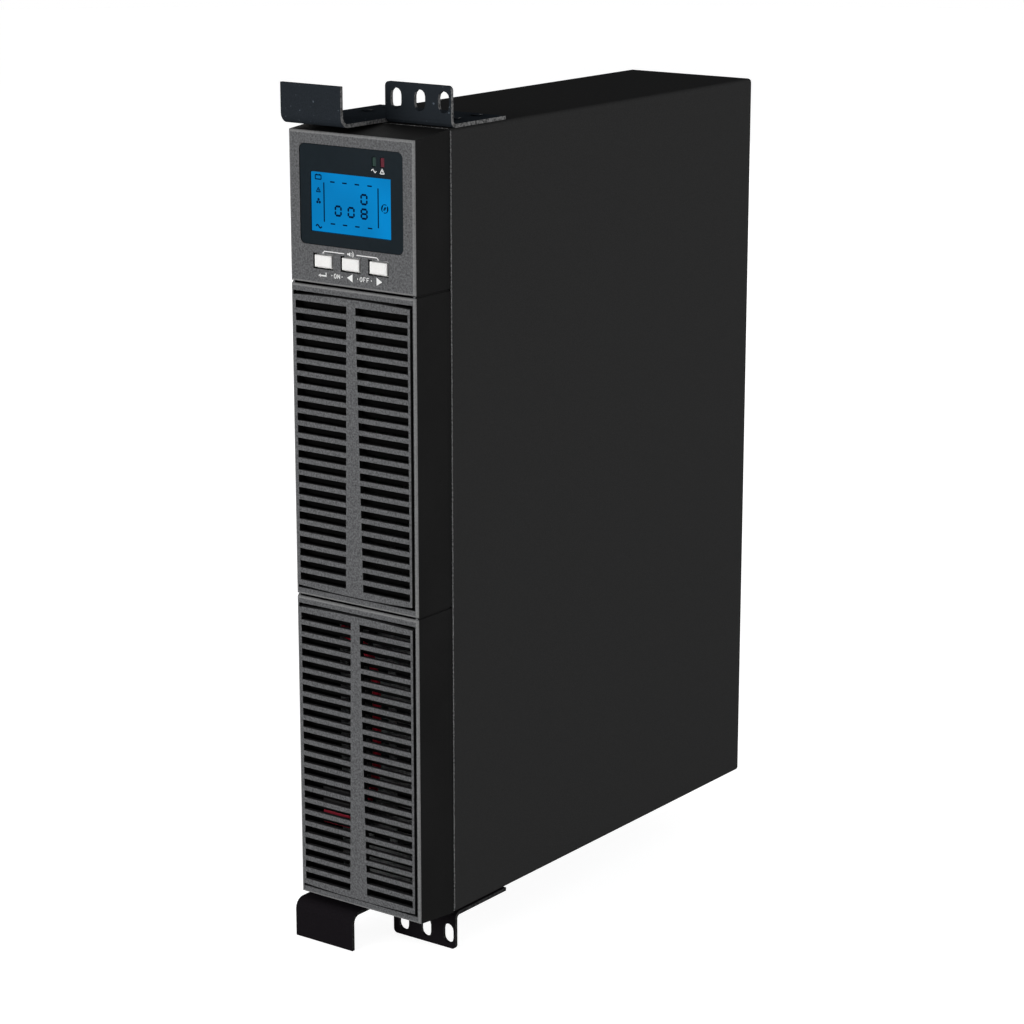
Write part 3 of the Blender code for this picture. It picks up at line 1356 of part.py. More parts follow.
def make_usb_port():
    place = (USB_X, PORTS_Z)
    mouth = PANEL_FACE + USB_STANDS
    bm = bmesh.new()
    add_prism(bm, "XZ", [centred(place, USB_SHELL)], mouth - USB_DEPTH, mouth)
    port = piece("usb_port", bm, ZINC)
    cavity = bmesh.new()
    loops = [chamfered(place, USB_CAVITY, 1.6), centred(place, USB_TONGUE)]
    add_prism(cavity, "XZ", loops, mouth - USB_DEPTH + 3, mouth + 1)
    cut(port, cavity)


def make_card_slot_cover():
    bm = bmesh.new()
    half_width, half_height = CARD_COVER[0] / 2, CARD_COVER[1] / 2
    outline = rounded((-half_width, CARD_Z - half_height), (half_width, CARD_Z + half_height), 2.0, 3)
    seat = PANEL_FACE + GAP
    add_prism(bm, "XZ", [outline], seat, seat + SHEET)
    piece("card_slot_cover", bm, BLACK_PAINT)


def build():
    make_cover_shell()
    make_chassis_tray()
    make_front_plate()
    make_rear_panel()
    make_bay_divider()
    make_display_bezel()
    make_display()
    for name, place in zip(("enter_button", "previous_button", "next_button"), key_places()):
        make_key(name, place)
    lower_clips, upper_clips = clip_places()
    make_cover("upper", LOWER_SEAM + SEAM / 2, UPPER_SEAM - SEAM / 2, upper_clips)
    make_cover("lower", None, LOWER_SEAM - SEAM / 2, lower_clips)
    make_ear("upper_rack_ear", CASE_HEIGHT, 1)
    make_ear("lower_rack_ear", 0.0, -1)
    make_battery_tray()
    front_face, rear_face = battery_faces()
    make_battery("front_battery", front_face, 1)
    make_battery("rear_battery", rear_face, -1)
    make_battery_link()
    make_battery_door()
    make_battery_connector()
    make_lead("positive_lead", POSITIVE_ROUTE, RED_RUBBER)
    make_lead("negative_lead", NEGATIVE_ROUTE, BLACK_RUBBER)
    make_electronics()
    make_fan_frame()
    make_fan_rotor()
    make_inlet((INLET_X, INLET_Z))
    for index, place in enumerate(outlet_places()):
        make_outlet("outlet_socket_%d" % (index + 1), place)
    make_breaker()
    make_serial_port()
    make_usb_port()
    make_card_slot_cover()


build()
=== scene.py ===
"""Looks of the rack and tower uninterruptible power supply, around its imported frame."""
import json
import math

import bmesh
import bpy
from mathutils import Matrix, Vector


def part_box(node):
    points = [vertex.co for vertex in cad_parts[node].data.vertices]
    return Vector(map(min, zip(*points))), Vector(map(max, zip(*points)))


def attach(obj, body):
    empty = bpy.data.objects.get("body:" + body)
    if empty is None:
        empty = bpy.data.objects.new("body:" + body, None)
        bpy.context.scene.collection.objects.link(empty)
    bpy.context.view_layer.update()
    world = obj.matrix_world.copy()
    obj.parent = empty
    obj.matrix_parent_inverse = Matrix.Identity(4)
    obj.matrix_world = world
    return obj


MM = 0.001
CASE = "case"

# Camera that matches the photograph, in metres, degrees and millimetres of lens
CAMERA_PLACE = (0.9925, -1.3736, 0.6583)
CAMERA_PITCH = 14.537
CAMERA_HEADING = 36.307
LENS = 105.0
SENSOR = 36.0
CLIP_END = 20.0

# Studio: each lamp has a place and a size in metres and a power in watts
LAMP_TARGET = (0.0, 0.0, 0.25)
LAMPS = {
    "key": ((-0.6, -2.1, 0.75), (1.6, 1.1), 33.5),
    "fill": ((2.2, 0.3, 0.6), (2.4, 1.1), 31.0),
    "back": ((0.4, 2.5, 0.6), (4.2, 1.1), 25.0),
    "left": ((-2.3, 0.4, 0.6), (2.4, 1.1), 29.0),
}
WHITE = (1.0, 1.0, 1.0, 1.0)
SOFT_COLOUR = (0.95, 0.97, 1.0, 1.0)
WALL_LIGHT = 0.44
CEILING_LIGHT = 0.08
FLOOR_RADIUS = 6.0
FLOOR_SIDES = 96
FLOOR_DARK = (0.38, 0.38, 0.38)
FLOOR_PALE = (0.4, 0.4, 0.4)
FLOOR_GLOW = 0.845

# Grain of the finishes, as noise scales per metre
SLOW_GRAIN = 22.0
PAINT_GRAIN = 1600.0
CHIP_GRAIN = 420.0
EDGE_HIGHLIGHT_GRAIN = 800.0
COARSE_GRAIN = 880.0
FINE_GRAIN = 1500.0
PLUG_GRAIN = 1300.0

# Changes of colour on one piece, in millimetres: the painted shade that sets in behind the front of a
# moulding, and the change across the plug
RECESS_SHADE_START = 1.2
RECESS_SHADE_FULL = 1.8
PLUG_SEAM = 0.1

# Printing on the front, in millimetres and degrees
PRINT_HEIGHT = 0.06
PRINT_LIFT = 0.02
LETTER_HEIGHT = 2.3
LETTER_WIDTH = 1.5
LETTER_STROKE = 0.42
DOT_SHARE = 0.8
BRACKET_LIFT = 0.9
BRACKET_LEG = 1.7
BRACKET_CORNER = 1.0
BRACKET_STROKE = 0.5
BRACKET_GAP = 4.2
POINT_LEFT = 180.0
POINT_RIGHT = 0.0
ARROW_RADIUS = 2.5
ENTER_LEFT = 2.6
ENTER_RIGHT = 2.2
ENTER_DROP = 0.6
ENTER_STROKE = 0.8
ENTER_BEND = 1.9
ENTER_RISE = 1.2
ENTER_BEND_STROKE = 0.6
ENTER_HEAD = 2.4
ENTER_HEAD_RADIUS = 1.1
SPEAKER_BACK = 1.7
SPEAKER_BOX = (0.9, 1.0)
CONE_LENGTH = 1.1
CONE_NECK = 0.5
CONE_MOUTH = 1.2
SOUND_REACHES = (1.2, 2.1)
SOUND_STROKE = 0.4
SOUND_ANGLE = 48.0
LEGEND_DROP = 7.0
SYMBOL_DROP = 4.7
SYMBOL_STROKE = 0.45
WAVE_RISE = 0.8
LIGHT_WAVE = 3.2
LIGHT_WAVE_STEPS = 16
WARNING_DROP = 0.3
WARNING_RADIUS = 1.7
WARNING_BAR = (0.4, 1.0)

# Screw heads, in millimetres, with their profiles as shares of radius and height
SCREW_RADIUS = 3.2
SCREW_HEIGHT = 1.9
COUNTERSINK_RADIUS = 3.6
COUNTERSINK_HEIGHT = 1.1
SCREW_SIDES = 24
PAN_PROFILE = ((1.0, 0.0), (1.0, 0.35), (0.86, 0.75), (0.55, 1.0))
SUNK_PROFILE = ((0.62, 0.0), (1.0, 0.75), (0.97, 1.0))
CROSS_WIDTH = 0.24
CROSS_REACH = 0.55
CROSS_FLOOR = 0.45
CROSS_TAPER = 0.7
SCREW_TURN = 37.0

# Screw places, in millimetres
EAR_FACE = 2.3
EAR_SCREW_X = 30.0
EAR_SCREWS_FROM_BACK = (9.0, 28.0)
FAN_SCREW_X = 35.75
CARD_SCREW_FROM_SIDE = 5.0
PANEL_SCREW_FROM_END = 12.0
PANEL_SCREW_BELOW_OUTLETS = 24.0
PANEL_SCREW_FROM_SIDE = 6.0
DOOR_SCREW_FROM_SIDE = 4.0
DOOR_SCREW_FROM_END = 5.0
CASE_SCREW_FROM_SIDE = 9.0
CASE_SCREWS_FROM_BACK = (20.0, 120.0, 220.0)

# Rear contacts, in millimetres
PIN_PLACES = ((-7.0, -1.0), (0.0, 4.0), (7.0, -1.0))
PIN_HALF_WIDTH = 1.0
PIN_HALF_HEIGHT = 2.0
PIN_ROOT = 16.9
PIN_TIP = 4.0
PIN_SKIN = 0.08
PIN_BEVEL = 0.15
SERIAL_INSERT = (7.5, 6.3, 3.3)
CONTACT_ROWS = ((1.4, 5), (-1.4, 4))
CONTACT_PITCH = 2.77
CONTACT_RADIUS = 0.62
CONTACT_LENGTH = 0.2
CONTACT_LIFT = 0.05
POST_X = 12.5
POST_FLANGE = 5.0
POST_MIDDLE = 2.4
POST_RADII = (2.7, 2.5)
POST_LENGTH = 4.6

# Sloping blades behind the cover slats, in millimetres
LOUVRE_ROWS = 23
LOUVRE_OPENING = 4.2
LOUVRE_FROM_END = 6.0
SLAT_DEPTH = 3.0
BLADE_REACH = 4.0
BLADE_THICKNESS = 1.1
BLADE_ROOT_LIFT = 0.3
BLADE_TIP_DROP = 0.55
BLADE_FROM_SIDE = 1.6

# Display layout, as shares of the glass width from the left and of its height from the top
ICON_COLUMN = 0.09
BATTERY_ROW = 0.08
ALARM_ROW = 0.305
ALARM_BAR_ROW = 0.30
FAN_ROW = 0.49
WAVE_ROW = 0.917
BAR_COLUMNS = (0.161, 0.845)
BAR_SPAN = (0.163, 0.83)
DASH_COLUMNS = (0.27, 0.424, 0.58, 0.74)
DASH_ROWS = (0.14, 0.85)
DIGIT_PITCH = 0.164
DIGIT_RIGHT = 0.668
DIGIT_ROWS = (0.377, 0.62)
ROUND_ICON = (0.927, 0.493)

# Display figures and icons, in millimetres and degrees
LCD_MARGIN = 3.5
DIGIT_SIZE = (4.9, 6.0)
DIGIT_STROKE = 1.1
SEGMENT_GAP = 0.1
SEGMENT_POINT = 0.8
BAR_STROKE = 0.75
DASH_SIZE = (3.0, 0.75)
BATTERY_ICON = (4.0, 2.2)
BATTERY_STROKE = 0.6
TERMINAL_SIZE = (0.8, 0.5)
TERMINAL_X = 1.0
TERMINAL_LIFT = 1.4
ALARM_RADIUS = 1.6
ALARM_STROKE = 0.5
ALARM_BAR = (0.4, 0.9)
FAN_BLADE_REACH = 0.95
FAN_BLADE_RADIUS = 0.75
DISPLAY_WAVE = 4.0
DISPLAY_WAVE_STEPS = 12
DISPLAY_WAVE_STROKE = 0.8
ROUND_RADII = (2.2, 2.2)
ROUND_STROKE = 0.45
ROUND_ARCS = ((60, 230), (250, 400))
SLASH_ENDS = ((-0.9, 0.2), (-0.2, 0.9))
SLASH_RISE = 0.9
SLASH_STROKE = 0.5

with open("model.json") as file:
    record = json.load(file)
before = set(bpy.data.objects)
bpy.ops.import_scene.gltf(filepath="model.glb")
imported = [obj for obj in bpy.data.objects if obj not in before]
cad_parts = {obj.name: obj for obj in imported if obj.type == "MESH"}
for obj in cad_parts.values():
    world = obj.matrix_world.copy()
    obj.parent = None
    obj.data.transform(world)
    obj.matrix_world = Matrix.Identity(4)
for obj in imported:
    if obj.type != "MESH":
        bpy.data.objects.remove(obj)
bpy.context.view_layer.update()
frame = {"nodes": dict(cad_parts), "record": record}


# Node materials

def blank_material(name):
    material = bpy.data.materials.new(name)
    material.use_nodes = True
    tree = material.node_tree
    return material, tree, tree.nodes["Principled BSDF"]


def noise(tree, scale, detail=3.0, roughness=0.5):
    place = tree.nodes.new("ShaderNodeTexCoord")
    texture = tree.nodes.new("ShaderNodeTexNoise")
    texture.inputs["Scale"].default_value = scale
    texture.inputs["Detail"].default_value = detail
    texture.inputs["Roughness"].default_value = roughness
    tree.links.new(place.outputs["Object"], texture.inputs["Vector"])
    return texture.outputs["Fac"]


def ramp(tree, source, low, high, start=0.35, end=0.65):
    """Two colours spread over a stretch of a noise."""
    node = tree.nodes.new("ShaderNodeValToRGB")
    first, last = node.color_ramp.elements
    first.position, last.position = start, end
    first.color, last.color = (*low, 1.0), (*high, 1.0)
    tree.links.new(source, node.inputs["Fac"])
    return node.outputs["Color"]


def spread(tree, source, low, high):
    """A number that a noise moves between two values."""
    node = tree.nodes.new("ShaderNodeMapRange")
    node.inputs["From Min"].default_value = 0.3
    node.inputs["From Max"].default_value = 0.7
    node.inputs["To Min"].default_value = low
    node.inputs["To Max"].default_value = high
    tree.links.new(source, node.inputs["Value"])
    return node.outputs["Result"]


def bump(tree, shader, source, distance, strength):
    node = tree.nodes.new("ShaderNodeBump")
    node.inputs["Distance"].default_value = distance
    node.inputs["Strength"].default_value = strength
    tree.links.new(source, node.inputs["Height"])
    tree.links.new(node.outputs["Normal"], shader.inputs["Normal"])


def shade(colour, factor):
    return tuple(channel * factor for channel in colour)


def surface(name, colour, roughness, metallic=0.0, grain=900.0, contrast=0.12, relief=0.05, depth=0.0001,
            wander=0.06, specular=0.5):
    """A finish with fine grain in its colour and relief, and slow changes in its gloss."""
    material, tree, shader = blank_material(name)
    fine = noise(tree, grain)
    slow = noise(tree, SLOW_GRAIN, 4.0)
    tone = ramp(tree, fine, shade(colour, 1 - contrast), shade(colour, 1 + contrast))
    tree.links.new(tone, shader.inputs["Base Color"])
    tree.links.new(spread(tree, slow, roughness - wander, roughness + wander), shader.inputs["Roughness"])
    shader.inputs["Metallic"].default_value = metallic
    shader.inputs["Specular IOR Level"].default_value = specular
    bump(tree, shader, fine, depth, relief)
    return material


def remap(tree, source, start, end):
    """A number that runs from zero to one between two values, and stays there outside them."""
    node = tree.nodes.new("ShaderNodeMapRange")
    node.inputs["From Min"].default_value = start
    node.inputs["From Max"].default_value = end
    tree.links.new(source, node.inputs["Value"])
    return node.outputs["Result"]


def arithmetic(tree, operation, first, second):
    node = tree.nodes.new("ShaderNodeMath")
    node.operation = operation
    tree.links.new(first, node.inputs[0])
    tree.links.new(second, node.inputs[1])
    return node.outputs["Value"]


def mixed(tree, share, first, second):
    node = tree.nodes.new("ShaderNodeMix")
    node.data_type = "RGBA"
    tree.links.new(share, node.inputs["Factor"])
    tree.links.new(first, node.inputs["A"])
    tree.links.new(second, node.inputs["B"])
    return node.outputs["Result"]


def facing_along(tree, place, axis):
    """How far a face looks along an axis of its piece, from minus one to one."""
    node = tree.nodes.new("ShaderNodeVectorMath")
    node.operation = "DOT_PRODUCT"
    node.inputs[1].default_value = axis
    tree.links.new(place.outputs["Normal"], node.inputs[0])
    return node.outputs["Value"]


def cut_sheet(name, colour, edge_highlight_colour, axis, both_ways, chip):
    """Painted sheet with a few chips, whose cut edges along an axis are paler as a painted highlight."""
    material, tree, shader = blank_material(name)
    place = tree.nodes.new("ShaderNodeTexCoord")
    fine = noise(tree, PAINT_GRAIN)
    paint = ramp(tree, fine, shade(colour, 0.88), shade(colour, 1.12))
    chips = ramp(tree, noise(tree, CHIP_GRAIN, 2.0), (0.0, 0.0, 0.0), (1.0, 1.0, 1.0), 0.70, 0.75)
    speck = ramp(tree, fine, shade(colour, 0.9 * chip), shade(colour, 1.1 * chip))
    # Painted highlight on the cut edges along the axis
    painted_edge_highlight = ramp(tree, noise(tree, EDGE_HIGHLIGHT_GRAIN, 4.0, 0.6), shade(edge_highlight_colour, 0.25), edge_highlight_colour, 0.38, 0.62)
    turned = facing_along(tree, place, axis)
    if both_ways:
        turned = arithmetic(tree, "ABSOLUTE", turned, turned)
    # Mask of the cut edges that take the painted highlight
    edge = remap(tree, turned, 0.8, 0.95)
    coat = mixed(tree, chips, paint, speck)
    tree.links.new(mixed(tree, edge, coat, painted_edge_highlight), shader.inputs["Base Color"])
    tree.links.new(spread(tree, noise(tree, SLOW_GRAIN, 4.0), 0.54, 0.66), shader.inputs["Roughness"])
    shader.inputs["Specular IOR Level"].default_value = 0.0
    bump(tree, shader, fine, 0.00008, 0.15)
    return material


# Of the colours after the face, the first is a painted highlight on rounded edges and the second a painted
# shade on sides and in recesses
def moulding_with_painted_light(name, face, edge, painted_shade_colour, roughness, face_y):
    """Moulding with a coarse grey front, a painted highlight on its rounded edges, painted shade on its sides
    and in its recesses, and a lighter painted shade on top faces near the front.
    """
    material, tree, shader = blank_material(name)
    place = tree.nodes.new("ShaderNodeTexCoord")
    turned = facing_along(tree, place, (0.0, -1.0, 0.0))
    split = tree.nodes.new("ShaderNodeSeparateXYZ")
    tree.links.new(place.outputs["Object"], split.inputs["Vector"])
    # Painted recess shade sets in between these depths behind the front
    clear_of_recess_shade = remap(tree, split.outputs["Y"], face_y + RECESS_SHADE_FULL * MM, face_y + RECESS_SHADE_START * MM)
    front = arithmetic(tree, "MULTIPLY", remap(tree, turned, 0.1, 0.4), clear_of_recess_shade)
    fine = noise(tree, FINE_GRAIN)
    coarse = noise(tree, COARSE_GRAIN, 4.0, 0.65)
    grain = ramp(tree, coarse, shade(face, 0.45), shade(face, 1.6), 0.3, 0.7)
    # Painted highlight on rounded edges that turn away from the front
    painted_edge_highlight = ramp(tree, coarse, shade(edge, 0.8), shade(edge, 1.2), 0.3, 0.7)
    painted = mixed(tree, remap(tree, turned, 0.93, 0.99), painted_edge_highlight, grain)
    # Painted shade on sides and in recesses, lighter on top faces near the front
    painted_shade_tone = ramp(tree, fine, shade(painted_shade_colour, 0.92), shade(painted_shade_colour, 1.08))
    painted_top_shade = ramp(tree, fine, shade(face, 0.22), shade(face, 0.3))
    raised = remap(tree, facing_along(tree, place, (0.0, 0.0, 1.0)), 0.7, 0.9)
    top_shade_mask = arithmetic(tree, "MULTIPLY", raised, clear_of_recess_shade)
    painted_shade_mix = mixed(tree, top_shade_mask, painted_shade_tone, painted_top_shade)
    tree.links.new(mixed(tree, front, painted_shade_mix, painted), shader.inputs["Base Color"])
    slow = noise(tree, SLOW_GRAIN, 4.0)
    tree.links.new(spread(tree, slow, roughness - 0.05, roughness + 0.05), shader.inputs["Roughness"])
    shader.inputs["Specular IOR Level"].default_value = 0.03
    bump(tree, shader, coarse, 0.0002, 0.35)
    return material


def halved(name, low_colour, high_colour, box):
    """Plastic in two colours, one for each half of a plug."""
    material, tree, shader = blank_material(name)
    place = tree.nodes.new("ShaderNodeTexCoord")
    split = tree.nodes.new("ShaderNodeSeparateXYZ")
    tree.links.new(place.outputs["Object"], split.inputs["Vector"])
    middle = (box[0][2] + box[1][2]) / 2
    upper = remap(tree, split.outputs["Z"], middle - PLUG_SEAM * MM, middle + PLUG_SEAM * MM)
    fine = noise(tree, PLUG_GRAIN)
    low_tone = ramp(tree, fine, shade(low_colour, 0.85), shade(low_colour, 1.15))
    high_tone = ramp(tree, fine, shade(high_colour, 0.85), shade(high_colour, 1.15))
    tree.links.new(mixed(tree, upper, low_tone, high_tone), shader.inputs["Base Color"])
    shader.inputs["Roughness"].default_value = 0.6
    bump(tree, shader, fine, 0.0001, 0.2)
    return material


def brushed(name, colour, roughness):
    """Sheet metal with a rolled grain that runs up the sheet."""
    material, tree, shader = blank_material(name)
    place = tree.nodes.new("ShaderNodeTexCoord")
    stretch = tree.nodes.new("ShaderNodeMapping")
    stretch.inputs["Scale"].default_value = (900.0, 900.0, 30.0)
    texture = tree.nodes.new("ShaderNodeTexNoise")
    texture.inputs["Scale"].default_value = 1.0
    texture.inputs["Detail"].default_value = 4.0
    tree.links.new(place.outputs["Object"], stretch.inputs["Vector"])
    tree.links.new(stretch.outputs["Vector"], texture.inputs["Vector"])
    streaks = texture.outputs["Fac"]
    tree.links.new(ramp(tree, streaks, shade(colour, 0.86), shade(colour, 1.1)), shader.inputs["Base Color"])
    tree.links.new(spread(tree, streaks, roughness - 0.08, roughness + 0.08), shader.inputs["Roughness"])
    shader.inputs["Metallic"].default_value = 1.0
    bump(tree, shader, streaks, 0.00004, 0.2)
    return material


def backlit(name, colour, glow):
    """A lit display, with slow changes of brightness over the glass."""
    material, tree, shader = blank_material(name)
    slow = noise(tree, 30.0, 1.0)
    tone = ramp(tree, slow, shade(colour, 0.9), shade(colour, 1.1))
    tree.links.new(ramp(tree, slow, shade(colour, 0.08), shade(colour, 0.12)), shader.inputs["Base Color"])
    tree.links.new(tone, shader.inputs["Emission Color"])
    shader.inputs["Emission Strength"].default_value = glow
    shader.inputs["Roughness"].default_value = 0.5
    shader.inputs["Specular IOR Level"].default_value = 0.02
    return material


def lit_plastic(name, colour, glow):
    """A status light that glows faintly."""
    material, tree, shader = blank_material(name)
    fine = noise(tree, FINE_GRAIN)
    tone = ramp(tree, fine, shade(colour, 0.85), shade(colour, 1.1))
    tree.links.new(tone, shader.inputs["Base Color"])
    tree.links.new(tone, shader.inputs["Emission Color"])
    shader.inputs["Emission Strength"].default_value = glow
    shader.inputs["Roughness"].default_value = 0.3
    shader.inputs["Specular IOR Level"].default_value = 0.1
    return material


def circuit_board(name, mask, copper):
    """Solder mask with a faint mesh of tracks under it."""
    material, tree, shader = blank_material(name)
    place = tree.nodes.new("ShaderNodeTexCoord")
    tracks = tree.nodes.new("ShaderNodeTexBrick")
    tracks.inputs["Scale"].default_value = 120.0
    tracks.inputs["Mortar Size"].default_value = 0.04
    tracks.inputs["Color1"].default_value = (*mask, 1.0)
    tracks.inputs["Color2"].default_value = (*shade(mask, 0.8), 1.0)
    tracks.inputs["Mortar"].default_value = (*copper, 1.0)
    turn = tree.nodes.new("ShaderNodeMapping")
    turn.inputs["Rotation"].default_value = (math.pi / 2, 0.0, math.pi / 2)
    tree.links.new(place.outputs["Object"], turn.inputs["Vector"])
    tree.links.new(turn.outputs["Vector"], tracks.inputs["Vector"])
    tree.links.new(tracks.outputs["Color"], shader.inputs["Base Color"])
    shader.inputs["Roughness"].default_value = 0.4
    bump(tree, shader, noise(tree, 700.0), 0.00005, 0.15)
    return material


def winding(name, colour):
    """Enamelled wire laid side by side."""
    material, tree, shader = blank_material(name)
    place = tree.nodes.new("ShaderNodeTexCoord")
    turns = tree.nodes.new("ShaderNodeTexWave")
    turns.inputs["Scale"].default_value = 260.0
    turns.inputs["Distortion"].default_value = 2.0
    tree.links.new(place.outputs["Object"], turns.inputs["Vector"])
    tone = ramp(tree, turns.outputs["Fac"], shade(colour, 0.4), colour, 0.1, 0.6)
    tree.links.new(tone, shader.inputs["Base Color"])
    shader.inputs["Metallic"].default_value = 0.8
    shader.inputs["Roughness"].default_value = 0.35
    bump(tree, shader, turns.outputs["Fac"], 0.0004, 0.6)
    return material


ACROSS = (1.0, 0.0, 0.0)
FORWARD = (0.0, -1.0, 0.0)
PAINT = surface("powder_coat", (0.025, 0.025, 0.025), 0.6, grain=PAINT_GRAIN, contrast=0.10, relief=0.15,
                depth=0.00008, specular=0.0)
# The pale second colours are painted highlights on the cut edges
CUT_SHEET = cut_sheet("cut_sheet", (0.025, 0.025, 0.025), (0.66, 0.66, 0.66), FORWARD, False, 1.0)
EAR_PAINT = cut_sheet("ear_coat", (0.0195, 0.0235, 0.0282), (0.17, 0.17, 0.17), ACROSS, True, 4.5)
# The lower ear takes the upper ear's paint, darker as painted shade
SHADED_LOWER_EAR_PAINT = cut_sheet("shaded_low_ear_coat", (0.0100, 0.0086, 0.0102), (0.04, 0.04, 0.04), ACROSS, True, 1.5)
# Grey moulding with painted highlights on its rounded edges and painted shade on its sides, recesses and top
# faces
MOULDED_PAINTED_LIGHT = moulding_with_painted_light("moulded_grey_painted_light", (0.105, 0.106, 0.109), (0.20, 0.20, 0.20), (0.0040, 0.0040, 0.0040), 0.65,
                   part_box("display_bezel")[0][1])
PLUG = halved("plug_halves", (0.34, 0.008, 0.028), (0.012, 0.012, 0.012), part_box("battery_plug"))
DOOR = surface("door_plate", (0.34, 0.345, 0.35), 0.5, grain=900.0, contrast=0.15, relief=0.1)
GLOSS = surface("gloss_black", (0.0062, 0.0112, 0.0150), 0.2, grain=300.0, contrast=0.05, relief=0.0,
                wander=0.03, specular=0.05)
BLACK = surface("moulded_black", (0.016, 0.016, 0.017), 0.5, grain=1300.0, contrast=0.15, relief=0.2,
                specular=0.2)
KEYS = surface("key_white", (0.80, 0.79, 0.77), 0.42, grain=1800.0, contrast=0.03, relief=0.06)
BATTERY = surface("battery_case", (0.035, 0.036, 0.040), 0.5, grain=900.0, contrast=0.12, relief=0.2)
RED = surface("lead_red", (0.55, 0.010, 0.035), 0.4, grain=700.0, contrast=0.1, relief=0.1)
DARK = surface("lead_black", (0.012, 0.012, 0.012), 0.45, grain=700.0, contrast=0.1, relief=0.1)
FERRITE = surface("core_grey", (0.03, 0.03, 0.032), 0.7, grain=500.0, contrast=0.3, relief=0.3)
SLEEVE = surface("sleeve_blue", (0.012, 0.03, 0.10), 0.3, grain=200.0, contrast=0.06, relief=0.02)
ZINC = brushed("zinc_sheet", (0.60, 0.61, 0.62), 0.36)
ALUMINIUM = brushed("fin_aluminium", (0.74, 0.75, 0.76), 0.38)
NICKEL = surface("nickel", (0.40, 0.39, 0.375), 0.34, 1.0, grain=600.0, contrast=0.06, relief=0.05)
BRASS = surface("link_brass", (0.72, 0.50, 0.20), 0.32, 1.0, grain=600.0, contrast=0.08, relief=0.05)
LCD = backlit("lcd_blue", (0.0, 0.20, 0.51), 0.95)
INK = surface("lcd_ink", (0.002, 0.008, 0.035), 0.5, grain=800.0, contrast=0.1, relief=0.0, specular=0.0)
WHITE_INK = surface("white_ink", (0.78, 0.78, 0.77), 0.6, grain=2500.0, contrast=0.05, relief=0.05)
GREEN = lit_plastic("light_green", (0.012, 0.032, 0.026), 0.15)
DIM_RED = lit_plastic("light_red", (0.075, 0.006, 0.014), 0.35)
BOARD = circuit_board("solder_mask", (0.012, 0.10, 0.045), (0.05, 0.16, 0.07))
COPPER = winding("copper_wire", (0.62, 0.24, 0.08))

FINISHES = {
    "black_paint": PAINT, "zinc_plate": ZINC, "grey_plastic": MOULDED_PAINTED_LIGHT, "black_gloss": GLOSS,
    "blue_display": LCD, "green_light": GREEN, "red_light": DIM_RED, "white_key": KEYS,
    "black_plastic": BLACK, "board_green": BOARD, "battery_grey": BATTERY, "brass": BRASS,
    "red_cable": RED, "black_cable": DARK, "aluminium": ALUMINIUM, "copper_winding": COPPER,
    "ferrite": FERRITE, "capacitor_sleeve": SLEEVE,
}
OWN_FINISH = {
    "cover_shell": CUT_SHEET, "upper_rack_ear": EAR_PAINT, "lower_rack_ear": SHADED_LOWER_EAR_PAINT,
    "battery_plug": PLUG, "battery_door": DOOR, "usb_port": NICKEL, "serial_port": NICKEL,
}


def dress_nodes():
    for entry in frame["record"]["subparts"]:
        node = entry["node"]
        mesh = frame["nodes"][node].data
        mesh.materials.clear()
        mesh.materials.append(OWN_FINISH.get(node, FINISHES[entry["material_slot"]]))


# Flat printed shapes, drawn in millimetres across and up

def ribbon(points, width):
    """Outline of a stroke along a line of points."""
    line = [Vector(point) for point in points]
    left = []
    right = []
    for index, point in enumerate(line):
        before = line[max(index - 1, 0)]
        after = line[min(index + 1, len(line) - 1)]
        along = (after - before).normalized()
        across = Vector((-along.y, along.x)) * width / 2
        left.append(point + across)
        right.append(point - across)
    return left + right[::-1]


def ring(centre, radii, stroke, start=0.0, end=360.0, steps=24):
    points = []
    for step in range(steps + 1):
        angle = math.radians(start + (end - start) * step / steps)
        points.append((centre[0] + radii[0] * math.cos(angle), centre[1] + radii[1] * math.sin(angle)))
    return ribbon(points, stroke)


def polygon(centre, radius, sides, turn=90.0):
    points = []
    for side in range(sides):
        angle = math.radians(turn + 360.0 * side / sides)
        points.append((centre[0] + radius * math.cos(angle), centre[1] + radius * math.sin(angle)))
    return points


def outlined(corners, stroke):
    """Strokes along the sides of a closed shape."""
    return [ribbon([corners[index - 1], corners[index]], stroke) for index in range(len(corners))]


def wave(centre, width, steps):
    """Points of one full wave."""
    points = []
    for step in range(steps + 1):
        rise = WAVE_RISE * math.sin(2 * math.pi * step / steps)
        points.append((centre[0] - width / 2 + width * step / steps, centre[1] + rise))
    return points


def bar(centre, size):
    half = (size[0] / 2, size[1] / 2)
    return [(centre[0] - half[0], centre[1] - half[1]), (centre[0] + half[0], centre[1] - half[1]),
            (centre[0] + half[0], centre[1] + half[1]), (centre[0] - half[0], centre[1] + half[1])]


def shown(name, mesh, material, body=CASE):
    """Put a mesh in the scene as a piece that rides on a body."""
    mesh.materials.append(material)
    piece = bpy.data.objects.new(name, mesh)
    bpy.context.collection.objects.link(piece)
    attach(piece, body)


def mesh_from(name, bm):
    """Turn a bmesh into a named mesh and let it go."""
    mesh = bpy.data.meshes.new(name)
    bm.to_mesh(mesh)
    bm.free()
    return mesh


